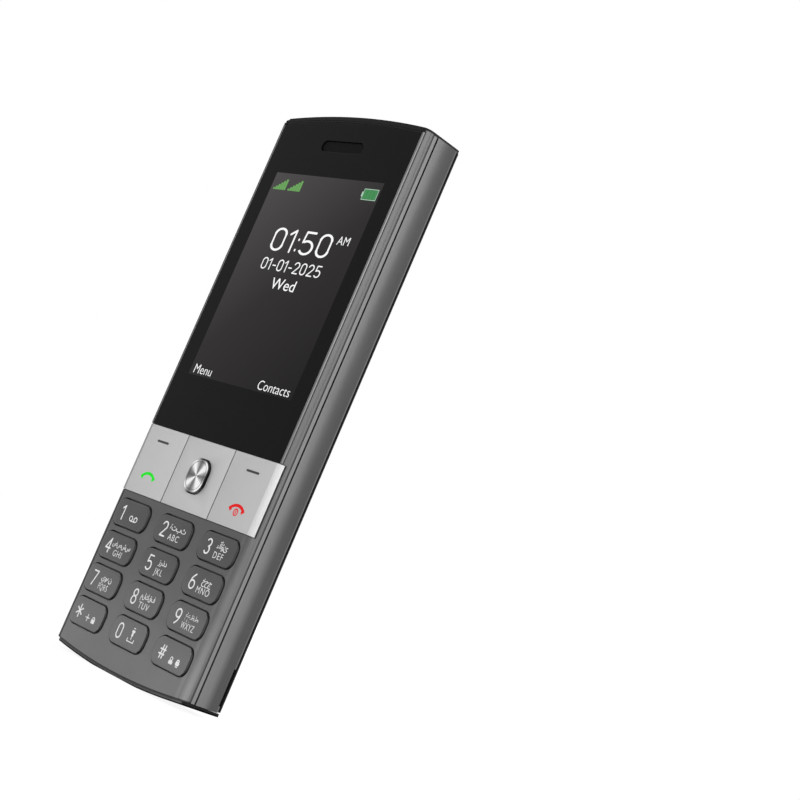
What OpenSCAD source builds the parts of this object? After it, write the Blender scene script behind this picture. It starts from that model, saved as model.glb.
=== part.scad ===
// Feature phone: keypad, 2.4-inch display, silver function plates and a round camera island.
// +Z runs along the length to the earpiece, the screen faces -Y, the origin is under the lower end.
// Every piece is drawn with the front face on y = 0, then moved so that the depth is centred.

/* [Body] */
// Width across the rear housing, the widest piece
body_w = 49.8; // [46:0.1:56]
// Length of the housings on the centre line, without the end caps
body_l = 127.1; // [118:0.1:140]
// Depth from the front face to the flat of the back
body_t = 11.5; // [11:0.1:13]
// Radius of the bowed ends
end_r = 200; // [170:5:300]
// Radius of the long edges of the front housing
edge_r = 2.0; // [1.8:0.1:2.2]
// Radius of the long edges of the back cover
cover_r = 5; // [4:0.5:6]
// Straight lip of the back cover below its round edges
cover_lip = 0.35; // [0.3:0.05:0.5]
// Radius of the bowed sides of the rear housing
side_r = 18; // [15:1:30]
// Wall of the housings at the ends and sides
wall = 1.3; // [1.2:0.05:1.4]
// Thickness of the keypad face
face_t = 1.0; // [0.9:0.05:1]
// Thickness of the back cover
cover_t = 1.1; // [1:0.05:1.2]
// How far the end caps stand out
cap_proud = 0.6; // [0.4:0.05:1]
// Inset of the end caps from the outline
cap_in = 0.45; // [0.3:0.05:0.6]
// Width of the flat in the middle of the lower end, on which the phone stands
foot_w = 16; // [10:1:22]

/* [Side lines] */
// Depth of the front housing at the sides
front_d = 2.1; // [2.05:0.05:2.15]
// Depth of the light strip of the middle frame
strip_d = 1.0; // [0.9:0.05:1.1]
// Width of the dark lines beside the strip
groove_w = 0.2; // [0.15:0.05:0.3]
// Depth of the dark lines below the widest side
groove_in = 0.75; // [0.7:0.05:0.85]
// Step of the front housing below the widest side
front_step = 0.3; // [0.2:0.05:0.4]
// Step of the strip below the widest side
strip_step = 0.45; // [0.4:0.05:0.6]
// Step of the back cover below the widest side
cover_step = 0.5; // [0.4:0.05:0.55]
// Depth of the back cover at the sides
cover_d = 1.75; // [1.6:0.05:1.8]
// Open seam between the rear housing and the back cover
seam_gap = 0.35; // [0.3:0.05:0.45]
// Bevel of the rear housing along the seam
seam_bevel = 0.3; // [0.2:0.05:0.4]
// Length of the nail notch in the seam
notch_l = 7.8; // [6:0.1:12]
// Height of the middle of the nail notch above the lower end
notch_base = 6.75; // [6:0.05:12]
// Depth of the nail notch below the seam
notch_d = 0.6; // [0.4:0.05:0.7]

/* [Display] */
// Height of the visible picture
display_h = 48.96; // [44:0.01:54]
// Black border of the glass beside the picture
border_x = 4.69; // [4:0.01:6]
// Height of the picture above the lower edge of the glass
display_lift = 12.7; // [12:0.1:14]
// Height of the housing above the picture
head_h = 14.07; // [13:0.01:18]
// Inset of the glass from the side of the front housing
glass_in = 1.55; // [1.45:0.05:2]
// Thickness of the glass
glass_t = 0.85; // [0.8:0.01:0.86]
// Width of the bezel strip beside the glass
bezel_w = 0.5; // [0.4:0.05:0.55]
// Width of the earpiece slot
ear_w = 13.9; // [10:0.1:15]
// Height of the earpiece slot
ear_h = 2.6; // [2:0.1:3]
// Distance of the earpiece slot below the upper end
ear_drop = 6.8; // [6.4:0.1:7.2]

/* [Keys] */
// Face left beside the outer key columns
key_side = 2.4; // [2.2:0.1:3]
// Lane between the key columns
key_lane_x = 3.6; // [2:0.1:5]
// Lane between the key rows
key_lane_z = 1.66; // [1.5:0.02:2.2]
// Face left below the lowest key row
key_foot = 5.37; // [5:0.01:7]
// Face left between the top key row and the silver panel
key_brow = 1.71; // [1.6:0.01:3]
// Corner radius of a key
key_r = 2.1; // [1.6:0.1:2.5]
// How far a key stands above the face
key_proud = 0.6; // [0.4:0.05:0.7]
// Radius of the crown across a key
key_crown_x = 90; // [60:5:150]
// Radius of the crown along a key
key_crown_z = 40; // [30:2:80]
// Gap round a key in the face
key_gap = 0.3; // [0.25:0.01:0.35]
// Press of a key, a plate or the OK button
key_travel = 0.35; // [0.25:0.05:0.35]

/* [Function plates] */
// Height of the silver panel
panel_h = 15.66; // [14.5:0.02:17]
// Half width of the centre plate
nav_hw = 8.53; // [8:0.01:9.5]
// How far the plates stand above the face
plate_proud = 0.1; // [0.05:0.05:0.15]
// Depth to which the plates wrap the front edge
plate_d = 0.63; // [0.55:0.01:0.65]
// Gap around the plates
plate_gap = 0.14; // [0.12:0.01:0.2]
// Width of the OK button
ok_w = 6.7; // [6:0.1:6.9]
// Height of the OK button
ok_h = 7.7; // [7:0.1:7.9]
// Corner radius of the OK button
ok_round = 2.6; // [2:0.1:2.8]
// How far the OK button stands above the face
ok_proud = 0.75; // [0.7:0.05:0.9]

/* [Camera] */
// Distance of the camera below the upper end
cam_drop = 26.7; // [26:0.1:29]
// Radius of the raised plateau
plateau_r = 17.2; // [16:0.1:19]
// Height of the raised plateau
plateau_h = 0.7; // [0.6:0.05:0.9]
// Radius of the camera disc
disc_r = 13.8; // [12.5:0.1:15]
// Height of the disc's rim above the plateau
disc_proud = 0.55; // [0.4:0.05:0.7]
// Width of the disc's rim
rim_w = 1.1; // [0.9:0.05:1.3]
// Width of the outer glossy ring
ring_a_w = 1.75; // [1.5:0.05:2]
// Width of the second glossy ring
ring_b_w = 1.38; // [1.2:0.02:1.6]
// Width of the matt black field
field_w = 3.17; // [2.8:0.01:3.5]
// Width of the thin inner ring
inner_w = 0.76; // [0.6:0.02:0.9]
// Width of the loudspeaker slot
slot_w = 0.95; // [0.7:0.05:1.2]
// Half angle of the loudspeaker slot
slot_a = 34; // [25:1:40]

/* [Inside] */
// Height of the battery above the lower end
batt_base = 23.4; // [22.5:0.1:26]
// Height of a card socket
card_h = 13; // [12:0.5:15]
// Radius of the headphone bore
jack_r = 1.8; // [1.76:0.01:1.85]
// Length of the headphone bore
jack_l = 14; // [12:0.5:14.5]
// Side offset of the headphone socket
jack_x = 13; // [12:0.5:14]
// Thickness of the main board
board_t = 0.8; // [0.7:0.05:0.9]
// Gap around pieces that move or lift off
gap = 0.2; // [0.15:0.01:0.22]
// Gap around pieces that are fixed
snug = 0.05; // [0.04:0.01:0.06]

/* [Hidden] */
$fn = 96;
fine = 960;

// Overrun of a cut past a face, and a depth past every piece
over = 1;
y_far = 2 * body_w;

// Half widths of the stacked side profile
hw = body_w / 2;
hw_front = hw - front_step;
hw_strip = hw - strip_step;
hw_groove = hw - groove_in;
hw_cover = hw - cover_step;
cover_run = sqrt(pow(cover_r, 2) - pow(cover_r - cover_d + cover_lip, 2));
cap_hw = hw_front - cap_in;
cap_r = 1.6;
foot_in = end_r - sqrt(pow(end_r, 2) - pow(foot_w / 2, 2));

// Depth levels of the housings, counted from the front face
y_rear0 = front_d + strip_d;
y_cover0 = body_t - cover_d;
y_rear1 = y_cover0 - seam_gap;
y_cover_in = body_t - cover_t;
y_side_mid = (y_rear0 + y_rear1) / 2;
hw_seam = hw - side_r + sqrt(pow(side_r, 2) - pow(y_rear1 - y_side_mid, 2));
deck_t = 0.8;
y_deck = y_rear1 - deck_t;
depth_all = ok_proud + body_t + plateau_h + disc_proud;
y_move = ok_proud - depth_all / 2;

// Depth levels behind the front face: glass seat, plate pockets, keymat, domes and board
tape_t = 0.1;
y_seat = glass_t + tape_t;
seat_t = 0.8;
y_seat_back = y_seat + seat_t;
pocket_d = 1.0;
nav_pocket_d = 1.15;
y_floor_back = 1.5;
flange_t = 0.4;
y_flange = face_t + snug;
y_post = 2.0;
y_mat0 = 1.9;
y_mat1 = 2.3;
dome_slack = 0.1;
y_dome = y_post + key_travel + dome_slack;
dome_h = 0.3;
dome_r = 1.6;
y_sheet = y_dome + dome_h;
sheet_t = 0.1;
y_board0 = y_sheet + sheet_t;
y_board1 = y_board0 + board_t;

// Height levels: the picture hangs from the upper end, the keypad fills what is left below
z_bot = cap_proud;
z_top = z_bot + body_l;
z_disp1 = z_top - head_h;
z_disp0 = z_disp1 - display_h;
z_glass = z_disp0 - display_lift;
z_panel1 = z_glass - snug;
z_panel0 = z_panel1 - panel_h;
z_panel_mid = (z_panel0 + z_panel1) / 2;
z_ear = z_top - ear_drop;
z_cam = z_top - cam_drop;

// Keys: three columns and four rows between the lanes and margins
key_cols = 3;
key_rows = 4;
key_w = (2 * (hw_front - key_side) - (key_cols - 1) * key_lane_x) / key_cols;
key_h = (z_panel0 - z_bot - key_foot - key_brow - (key_rows - 1) * key_lane_z) / key_rows;
key_px = key_w + key_lane_x;
key_pz = key_h + key_lane_z;
key_round = min(key_r, key_h / 2 - snug);
flange_lap = 0.12;
flange_w = key_gap + flange_lap;

// Glass and display module around the picture
glass_hw = hw_front - glass_in;
tape_in = 0.6;
module_side = 2.0;
module_hw = glass_hw - border_x + module_side;
module_below = 6;
module_above = 2.5;
z_module0 = z_disp0 - module_below;
z_module1 = z_disp1 + module_above;

// Earpiece mesh in the slot and receiver behind it
ear_mesh_y = 0.35;
ear_mesh_t = 0.25;
receiver_side = 0.55;
receiver_over = 1.7;
receiver_w = ear_w + 2 * receiver_side;
receiver_h = ear_h + 2 * receiver_over;
receiver_t = 2.4;
receiver_r = 1.5;

// Actuator posts of the plates
post_r = 1.3;
post_room = 0.3;
post_hole = post_r + post_room;
plate_post_x = (nav_hw + hw_front) / 2;
plate_post_end = 3.33;
plate_post_z = panel_h / 2 - plate_post_end;
nav_post_r = 0.7;
nav_post_side = 1.43;
nav_post_end = 0.93;
nav_post_x = nav_hw - nav_post_side;
nav_post_z = panel_h / 2 - nav_post_end;
nav_room = 0.4;
nav_hole = nav_post_r + nav_room;
plate_posts = [[-plate_post_x, -plate_post_z], [-plate_post_x, plate_post_z],
  [plate_post_x, -plate_post_z], [plate_post_x, plate_post_z]];
nav_posts = [[-nav_post_x, 0], [nav_post_x, 0], [0, -nav_post_z], [0, nav_post_z]];

// Centre web ring that carries the centre plate
web_side = 0.7;
web_end = 0.5;
web_w = 2 * (nav_post_x - nav_post_r - web_side);
web_h = 2 * (nav_post_z - nav_post_r - web_end);
web_r = 2;
web_room = 0.6;
web_hole_w = ok_w + web_room;
web_hole_h = ok_h + web_room;
web_drop = 0.15;
web_t = 0.16;
y_web0 = plate_d + web_drop;
y_web1 = y_web0 + web_t;
ridge = 0.4;
ok_base = 0.55;
ok_gap = 0.15;
ok_lip = 0.35;

// Keymat and dome sheet outline
mat_rim = 0.5;
mat_room = 0.1;
mat_base = 3.6;
mat_over = 0.4;
mat_hw = max(key_px, plate_post_x) + post_hole + mat_room + mat_rim;
z_mat0 = z_bot + mat_base;
z_mat1 = z_panel1 + mat_over;

// Rails and shelves of the middle frame that hold the board
rail_in = 1.5;
rail_w = 0.8;
rail_t = 0.4;
shelf_w = 1.95;
ring_w = 1.1;
rail_foot = 7.4;
rail_head = 4.2;
rail_x1 = hw_strip - rail_in;
rail_x0 = rail_x1 - rail_w;
shelf_x = rail_x1 - shelf_w;
y_rail = y_board1 + rail_t;
z_rail0 = z_bot + rail_foot;
z_rail1 = z_top - rail_head;
board_hw = rail_x0 - gap;
board_foot = 3.9;
board_head = 11.7;
z_board0 = z_bot + board_foot;
z_board1 = z_top - board_head;

// Six screws from the back into bosses of the middle frame
screw_in = 2.35;
screw_x = rail_x1 - screw_in;
screw_foot = 10.4;
screw_lift = 2.53;
screw_head = 6.7;
screw_z = [z_bot + screw_foot, z_glass + screw_lift, z_top - screw_head];
boss_r = 1.8;
boss_y0 = front_d + gap;
screw_r = 0.7;
tap_r = 0.75;
pass_r = 0.85;
head_r = 1.4;
head_t = 0.75;
tip_room = 0.3;
screw_tip = boss_y0 + tip_room;
drive_r = 0.55;
drive_d = 0.4;

// Rear housing inside: walls, tongue under the cover and snap tabs of the cover
rear_wall = 1.7;
rear_in = hw - rear_wall;
tongue_in = 1.2;
tongue_x1 = hw_cover - tongue_in;
tongue_t = 1.0;
tongue_h = 0.8;
cover_rim = 1.05;
notch_deep = 1.1;
z_notch = z_bot + notch_base;
tab_t = 0.7;
tab_hl = 3;
tab_x1 = tongue_x1 - tongue_t - gap;
tab_x0 = tab_x1 - tab_t;
tab_foot = 30;
tab_middle = 70;
tab_head = 20;
tab_z = [z_bot + tab_foot, z_bot + tab_middle, z_top - tab_head];

// Camera module and card sockets, counted down from the camera
cam_hw = 4.25;
cam_base_t = 2.9;
barrel_r = 3.4;
barrel_gap = 0.4;
card_to_camera = 3.75;
card_rim = 1.8;
card_lane = 0.7;
card_t = 1.5;
card_slot = 0.8;
card_skin = 0.3;
card_hw = tongue_x1 - tongue_t - card_rim;
card_w = (2 * (card_hw - gap) - 2 * card_lane) / 3;
z_card0 = z_cam - cam_hw - card_to_camera - card_h;

// Battery bay between the screw bosses and below the card sockets
bay_wall = 0.8;
bay_gap = 0.25;
bay_side = 0.75;
bay_floor_t = 0.6;
bay_to_card = 1.95;
y_bay0 = y_board1 + bay_gap;
y_bay1 = y_bay0 + bay_floor_t;
bay_hw = screw_x - boss_r - bay_side - bay_wall;
batt_w = 2 * (bay_hw - bay_gap);
batt_r = 2;
y_batt0 = y_bay1 + snug;
y_batt1 = y_cover_in - bay_gap;
z_batt0 = z_bot + batt_base;
z_batt1 = z_card0 - bay_to_card - bay_wall - bay_gap;
z_bay0 = z_batt0 - bay_gap;
z_bay1 = z_batt1 + bay_gap;

// Battery connector with three spring blades
conn_hw = 5;
conn_lift = 0.6;
conn_t = 2.6;
conn_foot = 2.0;
blade_pitch = 3;
blade_hw = 0.5;
conn_y0 = y_bay1 + conn_lift;
conn_y1 = conn_y0 + conn_t;
z_conn1 = z_bay0 - bay_wall - gap;

// Finger notch beside the connector for lifting the battery
finger_r = 2.8;
finger_d = 2.5;
finger_x = (conn_hw + bay_hw) / 2;

// Sockets at the lower end
socket_in = 1.0;
usb_hw = 3.75;
usb_t = 2.7;
usb_l = 5.5;
usb_shell = 0.35;
usb_chamfer = 0.9;
usb_back = 1.2;
usb_tongue_hw = 2.6;
usb_tongue_t = 0.6;
port_gap = 0.25;
jack_y = (y_board1 + y_deck) / 2;
jack_hw = 3;
jack_end = 0.8;
jack_collar = 2.6;
z_jack_body = z_bot + wall + over;
mic_x = -11;
mic_r = 2.0;
mic_t = 1.3;
mic_hole = 0.5;

// Torch at the upper end
torch_y = y_side_mid;
torch_r = 1.5;
led_hw = 1.7;
led_t = 1.5;

// Loudspeaker under the arc slot
speaker_drop = 10.2;
speaker_w = 16;
speaker_h = 11;
speaker_t = 3.2;
speaker_r = 2;
speaker_rim_x = 1.5;
speaker_rim_z = 2.5;
speaker_mesh_t = 0.2;
speaker_mesh_over = 0.5;
z_speaker = z_top - speaker_drop;
slot_r = (plateau_r + disc_r) / 2;

// Shield cans, vibration motor and aerial strip
can_t = 1.8;
can_tin = 0.2;
rf_gap = 1.0;
rf_w = 10.8;
rf_h = 10;
rf_foot = 5.1;
rf_x = screw_x - boss_r - rf_gap;
logic_gap = 2.25;
logic_side = 1.95;
logic_head = 5.0;
motor_r = 5;
motor_t = 2.7;
motor_gap = 3.75;
motor_rise = 3.7;
aerial_t = 0.15;
aerial_w = 3;
aerial_side = 1.25;
aerial_foot = 4.5;
aerial_h = 15.5;
aerial_hw = bay_hw - aerial_side;

// Camera disc steps
disc_sink = 0.2;
disc_step = 0.15;
disc_lane = 0.25;
rim_round = 0.3;
inner_drop = 0.5;
eye_drop = 0.7;
y_disc_seat = body_t - disc_sink;
y_plateau = body_t + plateau_h;
y_rim = y_plateau + disc_proud;
ring_out = disc_r - rim_w - snug;
ring_mid = ring_out - ring_a_w;
ring_in = ring_mid - ring_b_w;
inner_out = ring_in - field_w;
inner_in = inner_out - inner_w;
eye_r = inner_in - snug;

// Straight box between two corners.
module box(x0, x1, y0, y1, z0, z1) {
  translate([x0, y0, z0])
    cube([x1 - x0, y1 - y0, z1 - z0]);
}

// Straight box on side s, between two distances from the middle plane.
module side_box(s, x0, x1, y0, y1, z0, z1) {
  mirror([s > 0 ? 0 : 1, 0, 0])
    box(x0, x1, y0, y1, z0, z1);
}

// Flat shape, drawn in X and Z, given depth between two levels.
module deep(y0, y1) {
  translate([0, y1, 0])
    rotate([90, 0, 0])
      linear_extrude(height = y1 - y0)
        children();
}

// Flat shape, drawn in X and depth, given the whole length.
module long_bar() {
  linear_extrude(height = z_top + cap_proud)
    children();
}

// Rectangle with round corners about the origin.
module rrect(w, h, r) {
  square([w - 2 * r, h], center = true);
  square([w, h - 2 * r], center = true);
  for (sx = [-1, 1])
    for (sy = [-1, 1])
      translate([sx * (w / 2 - r), sy * (h / 2 - r)])
        circle(r = r);
}

// Slot with round ends, wide or tall.
module obround(w, h) {
  r = min(w, h) / 2;
  if (w > h) {
    square([w - h, h], center = true);
    for (s = [-1, 1])
      translate([s * (w / 2 - r), 0])
        circle(r = r);
  } else {
    square([w, h - w], center = true);
    for (s = [-1, 1])
      translate([0, s * (h / 2 - r)])
        circle(r = r);
  }
}

// Round bar along the depth at a place on the front.
module pin(x, z, r, y0, y1) {
  translate([x, y0, z])
    rotate([-90, 0, 0])
      cylinder(r = r, h = y1 - y0);
}

// Everything between the two bowed ends, drawn in by d.
module ends(d) {
  intersection() {
    translate([0, -y_far, z_bot + end_r])
      rotate([-90, 0, 0])
        cylinder(r = end_r - d, h = 2 * y_far, $fn = fine);
    translate([0, -y_far, z_top - end_r])
      rotate([-90, 0, 0])
        cylinder(r = end_r - d, h = 2 * y_far, $fn = fine);
  }
}

// Block as wide as 2 x half, between two depths, drawn in by d at the bowed ends.
module bowed(half, y0, y1, d) {
  intersection() {
    box(-half, half, y0, y1, 0, z_top + cap_proud);
    ends(d);
  }
}

// Moves a piece from drawing depth to its stored depth.
module placed() {
  translate([0, y_move, 0])
    children();
}

// Side view of the front housing: flat face and round long edges.
module front_outline(grow) {
  x_c = hw_front - edge_r;
  intersection() {
    union() {
      translate([-x_c, -grow])
        square([2 * x_c, edge_r + grow]);
      for (s = [-1, 1])
        translate([s * x_c, edge_r])
          circle(r = edge_r + grow);
    }
    translate([-hw, -grow])
      square([2 * hw, front_d - groove_w + grow]);
  }
}

// Side view of the rear housing with its bowed sides, bevelled along the seam.
module rear_outline() {
  y0 = y_rear0 + groove_w;
  translate([-hw_groove, y_rear0])
    square([2 * hw_groove, y_rear1 - y_rear0]);
  for (s = [-1, 1])
    intersection() {
      translate([s * (hw - side_r), y_side_mid])
        circle(r = side_r);
      polygon([[0, y0], [s * hw, y0], [s * hw, y_rear1 - seam_bevel],
        [s * (hw_seam - seam_bevel), y_rear1], [0, y_rear1]]);
    }
}

// Side view of the back cover: flat back, long edges on wide arcs and a straight lip.
module cover_outline() {
  x_c = hw_cover - cover_run;
  intersection() {
    union() {
      translate([-x_c, y_cover0])
        square([2 * x_c, cover_d]);
      for (s = [-1, 1])
        translate([s * x_c, body_t - cover_r])
          circle(r = cover_r);
    }
    translate([-hw_cover, y_cover0])
      square([2 * hw_cover, cover_d]);
  }
}

// Arc band about the camera, half angle a, for the loudspeaker slot and its mesh.
module arc_band(r, w, a) {
  far = 2 * r;
  intersection() {
    difference() {
      circle(r = r + w / 2);
      circle(r = r - w / 2);
    }
    polygon([[0, 0], [-far * sin(a), far * cos(a)], [0, far * 2], [far * sin(a), far * cos(a)]]);
  }
  for (s = [-1, 1])
    translate([s * r * sin(a), r * cos(a)])
      circle(r = w / 2);
}

// Disc turned about the camera axis from a flat profile of radius and depth.
module turned() {
  translate([0, 0, z_cam])
    rotate([-90, 0, 0])
      rotate_extrude()
        children();
}

// Places of the twelve keys.
function key_x(c) = (c - 1) * key_px;
function key_z(r) = z_bot + key_foot + key_h / 2 + r * key_pz;

module front_shell() {
  cavity = hw_front - wall;
  color([0.3, 0.3, 0.31])
    placed()
      difference() {
        intersection() {
          union() {
            long_bar()
              front_outline(0);
            box(-hw_groove, hw_groove, face_t, front_d, 0, z_top + cap_proud);
          }
          ends(0);
        }
        intersection() {
          union() {
            box(-cavity, cavity, face_t, y_far, 0, z_panel0 - wall / 2);
            box(-cavity, cavity, y_floor_back, y_far, z_panel0 - wall / 2 - snug, z_panel1 + wall);
            box(-cavity, cavity, y_seat_back, y_far, z_panel1, z_top);
          }
          ends(wall);
        }
        box(-hw, hw, -y_far, pocket_d, z_panel0, z_panel1);
        box(-nav_hw, nav_hw, -y_far, nav_pocket_d, z_panel0, z_panel1);
        intersection() {
          box(-glass_hw - bezel_w - 2 * snug, glass_hw + bezel_w + 2 * snug, -y_far, y_seat,
            z_panel1 - snug, z_top);
          ends(bezel_w);
        }
        box(-module_hw - gap, module_hw + gap, face_t / 2, y_far, z_module0 - gap, z_module1 + gap);
        translate([0, 0, z_ear])
          deep(face_t / 2, y_far)
            obround(ear_w, ear_h);
        for (p = plate_posts)
          pin(p[0], z_panel_mid + p[1], post_hole, face_t / 2, y_far);
        for (p = nav_posts)
          pin(p[0], z_panel_mid + p[1], nav_hole, face_t / 2, y_far);
        pin(0, z_panel_mid, post_hole, face_t / 2, y_far);
        for (c = [0:key_cols - 1])
          for (r = [0:key_rows - 1])
            translate([key_x(c), 0, key_z(r)])
              deep(-y_far, y_far)
                rrect(key_w + 2 * key_gap, key_h + 2 * key_gap, key_round + key_gap);
      }
}

module mid_frame() {
  color([0.55, 0.55, 0.56])
    placed()
      difference() {
        union() {
          difference() {
            bowed(hw_strip, front_d, y_rear0, snug);
            bowed(rail_x0, 0, y_far, wall + ring_w);
          }
          for (s = [-1, 1]) {
            side_box(s, rail_x0, rail_x1, front_d, y_rail, z_rail0, z_rail1);
            side_box(s, shelf_x, rail_x1, y_board1, y_rail, z_rail0, z_board1);
            for (z = screw_z)
              pin(s * screw_x, z, boss_r, boss_y0, y_rail);
          }
        }
        for (s = [-1, 1])
          for (z = screw_z)
            pin(s * screw_x, z, tap_r, 0, y_far);
      }
}

module rear_shell() {
  color([0.36, 0.36, 0.37])
    placed()
      difference() {
        union() {
          difference() {
            intersection() {
              long_bar()
                rear_outline();
              ends(0);
            }
            bowed(rear_in, 0, y_deck, wall);
          }
          difference() {
            bowed(tongue_x1, y_deck, y_rear1 + tongue_h, wall + gap);
            bowed(tongue_x1 - tongue_t, y_rear1, y_far, wall + gap + tongue_t);
          }
          box(-bay_hw - bay_wall, bay_hw + bay_wall, y_bay0, y_rear1, z_bay0 - bay_wall, z_bay1 + bay_wall);
          for (s = [-1, 1])
            for (z = screw_z)
              pin(s * screw_x, z, boss_r, y_rail, y_rear1);
        }
        box(-bay_hw, bay_hw, y_bay1, y_far, z_bay0, z_bay1);
        box(-conn_hw - gap, conn_hw + gap, conn_y0 - gap, conn_y1 + gap, z_bay0 - 2 * bay_wall, z_batt0);
        pin(finger_x, z_bay0, finger_r, y_rear1 - finger_d, y_far);
        side_box(1, hw - notch_deep, hw + over, y_rear1 - notch_d, y_far, z_notch - notch_l / 2,
          z_notch + notch_l / 2);
        box(-card_hw, card_hw, y_deck - gap, y_far, z_card0 - gap, z_card0 + card_h + gap);
        pin(0, z_cam, barrel_r + gap, y_deck - gap, y_far);
        translate([0, 0, z_speaker])
          deep(y_deck - gap, y_far)
            obround(speaker_w - 2 * speaker_rim_x, speaker_h - 2 * speaker_rim_z);
        for (s = [-1, 1])
          for (z = screw_z) {
            pin(s * screw_x, z, pass_r, 0, y_far);
            pin(s * screw_x, z, head_r + 2 * snug, y_rear1 - head_t - snug, y_far);
          }
        end_openings();
      }
}

// Mouth of the charging socket, seen from the end and grown all round: two corners are cut off.
module usb_outline(grow) {
  x1 = usb_hw + grow;
  y0 = y_board1 - grow;
  y1 = y_board1 + usb_t + grow;
  polygon([[-x1, y0], [x1, y0], [x1, y1 - usb_chamfer], [x1 - usb_chamfer, y1],
    [usb_chamfer - x1, y1], [-x1, y1 - usb_chamfer]]);
}

// Holes through the ends for the sockets, the microphone and the torch.
module end_openings() {
  bore_l = wall + 4 * over;
  translate([0, 0, -over])
    linear_extrude(height = z_jack_body + over)
      usb_outline(port_gap);
  translate([jack_x, jack_y, -over])
    cylinder(r = jack_collar + port_gap, h = bore_l);
  translate([mic_x, y_board1 + mic_t, -over])
    cylinder(r = mic_hole, h = bore_l);
  translate([0, torch_y, z_top - wall - 2 * over])
    cylinder(r = torch_r + snug, h = bore_l);
}

module back_cover() {
  color([0.33, 0.33, 0.34])
    placed()
      difference() {
        union() {
          difference() {
            intersection() {
              long_bar()
                cover_outline();
              ends(gap);
            }
            bowed(hw_cover - cover_rim, 0, y_cover_in, wall);
          }
          turned()
            union() {
              translate([0, y_cover_in])
                square([plateau_r - plateau_h, y_plateau - y_cover_in]);
              intersection() {
                translate([plateau_r - plateau_h, body_t])
                  circle(r = plateau_h);
                translate([0, body_t - cover_t / 2])
                  square([plateau_r, plateau_h + cover_t]);
              }
              translate([0, body_t - cover_t / 2])
                square([plateau_r, cover_t / 2]);
            }
          for (s = [-1, 1])
            for (z = tab_z)
              side_box(s, tab_x0, tab_x1, y_rear1 + gap, y_cover_in + snug, z - tab_hl, z + tab_hl);
        }
        pin(0, z_cam, disc_r + snug, y_disc_seat, y_far);
        pin(0, z_cam, eye_r, 0, y_far);
        translate([0, 0, z_cam])
          deep(0, y_far)
            arc_band(slot_r, slot_w, slot_a);
      }
}

// Flat bar with round long edges that both end caps are cut from.
module cap_body() {
  translate([0, body_t / 2, -cap_proud])
    linear_extrude(height = z_top + 4 * cap_proud)
      rrect(2 * cap_hw, body_t - 2 * cap_in, cap_r);
}

module top_cap() {
  z_mid = z_top - body_l / 2;
  color([0.08, 0.08, 0.08])
    placed()
      difference() {
        intersection() {
          cap_body();
          translate([0, -y_far, z_top + cap_proud - end_r])
            rotate([-90, 0, 0])
              cylinder(r = end_r, h = 2 * y_far, $fn = fine);
          box(-hw, hw, -y_far, y_far, z_mid, z_top + 2 * cap_proud);
        }
        translate([0, -y_far, z_top - end_r])
          rotate([-90, 0, 0])
            cylinder(r = end_r + snug, h = 2 * y_far, $fn = fine);
        end_openings();
      }
}

module bottom_cap() {
  z_mid = z_top - body_l / 2;
  color([0.08, 0.08, 0.08])
    placed()
      difference() {
        intersection() {
          cap_body();
          translate([0, -y_far, end_r - foot_in])
            rotate([-90, 0, 0])
              cylinder(r = end_r, h = 2 * y_far, $fn = fine);
          box(-hw, hw, -y_far, y_far, 0, z_mid);
        }
        translate([0, -y_far, z_bot + end_r])
          rotate([-90, 0, 0])
            cylinder(r = end_r + snug, h = 2 * y_far, $fn = fine);
        end_openings();
      }
}

module bezel_trim() {
  x1 = glass_hw + bezel_w + snug;
  color([0.42, 0.42, 0.43])
    placed()
      difference() {
        intersection() {
          long_bar()
            front_outline(0);
          ends(bezel_w + snug);
          box(-x1, x1, -over, y_seat - snug, z_glass, z_top);
        }
        intersection() {
          box(-glass_hw - snug, glass_hw + snug, -y_far, y_far, z_glass - over, z_top);
          ends(2 * bezel_w);
        }
      }
}

// Face of the glass, drawn in by d, above the silver panel.
module glass_face(half, y0, y1, d) {
  intersection() {
    bowed(half, y0, y1, d);
    box(-half, half, y0, y1, z_glass, z_top);
  }
}

module display_glass() {
  color([0.05, 0.05, 0.06])
    placed()
      difference() {
        glass_face(glass_hw, 0, glass_t, 2 * bezel_w + snug);
        translate([0, 0, z_ear])
          deep(-over, y_far)
            obround(ear_w, ear_h);
      }
}

module glass_tape() {
  color([0.1, 0.1, 0.1])
    placed()
      difference() {
        intersection() {
          glass_face(glass_hw - tape_in, glass_t, y_seat, 2 * bezel_w + tape_in);
          box(-hw, hw, 0, y_far, z_glass + tape_in, z_top);
        }
        box(-module_hw - gap, module_hw + gap, 0, y_far, z_module0 - gap, z_module1 + gap);
        translate([0, 0, z_ear])
          deep(0, y_far)
            obround(ear_w + 2 * snug, ear_h + 2 * snug);
      }
}

module display_module() {
  color([0.16, 0.17, 0.19])
    placed()
      box(-module_hw, module_hw, glass_t + snug, y_board0, z_module0, z_module1);
}

module earpiece_mesh() {
  color([0.12, 0.12, 0.12])
    placed()
      translate([0, 0, z_ear])
        deep(ear_mesh_y, ear_mesh_y + ear_mesh_t)
          obround(ear_w - 2 * snug, ear_h - 2 * snug);
}

module earpiece_receiver() {
  color([0.6, 0.6, 0.62])
    placed()
      translate([0, 0, z_ear])
        deep(y_seat_back, y_seat_back + receiver_t)
          rrect(receiver_w, receiver_h, receiver_r);
}

// Section of the silver plates: proud of the face and wrapped over the round edge.
module plate_section() {
  intersection() {
    front_outline(plate_proud);
    translate([-hw, -plate_proud])
      square([2 * hw, plate_d + plate_proud]);
  }
}

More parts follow.
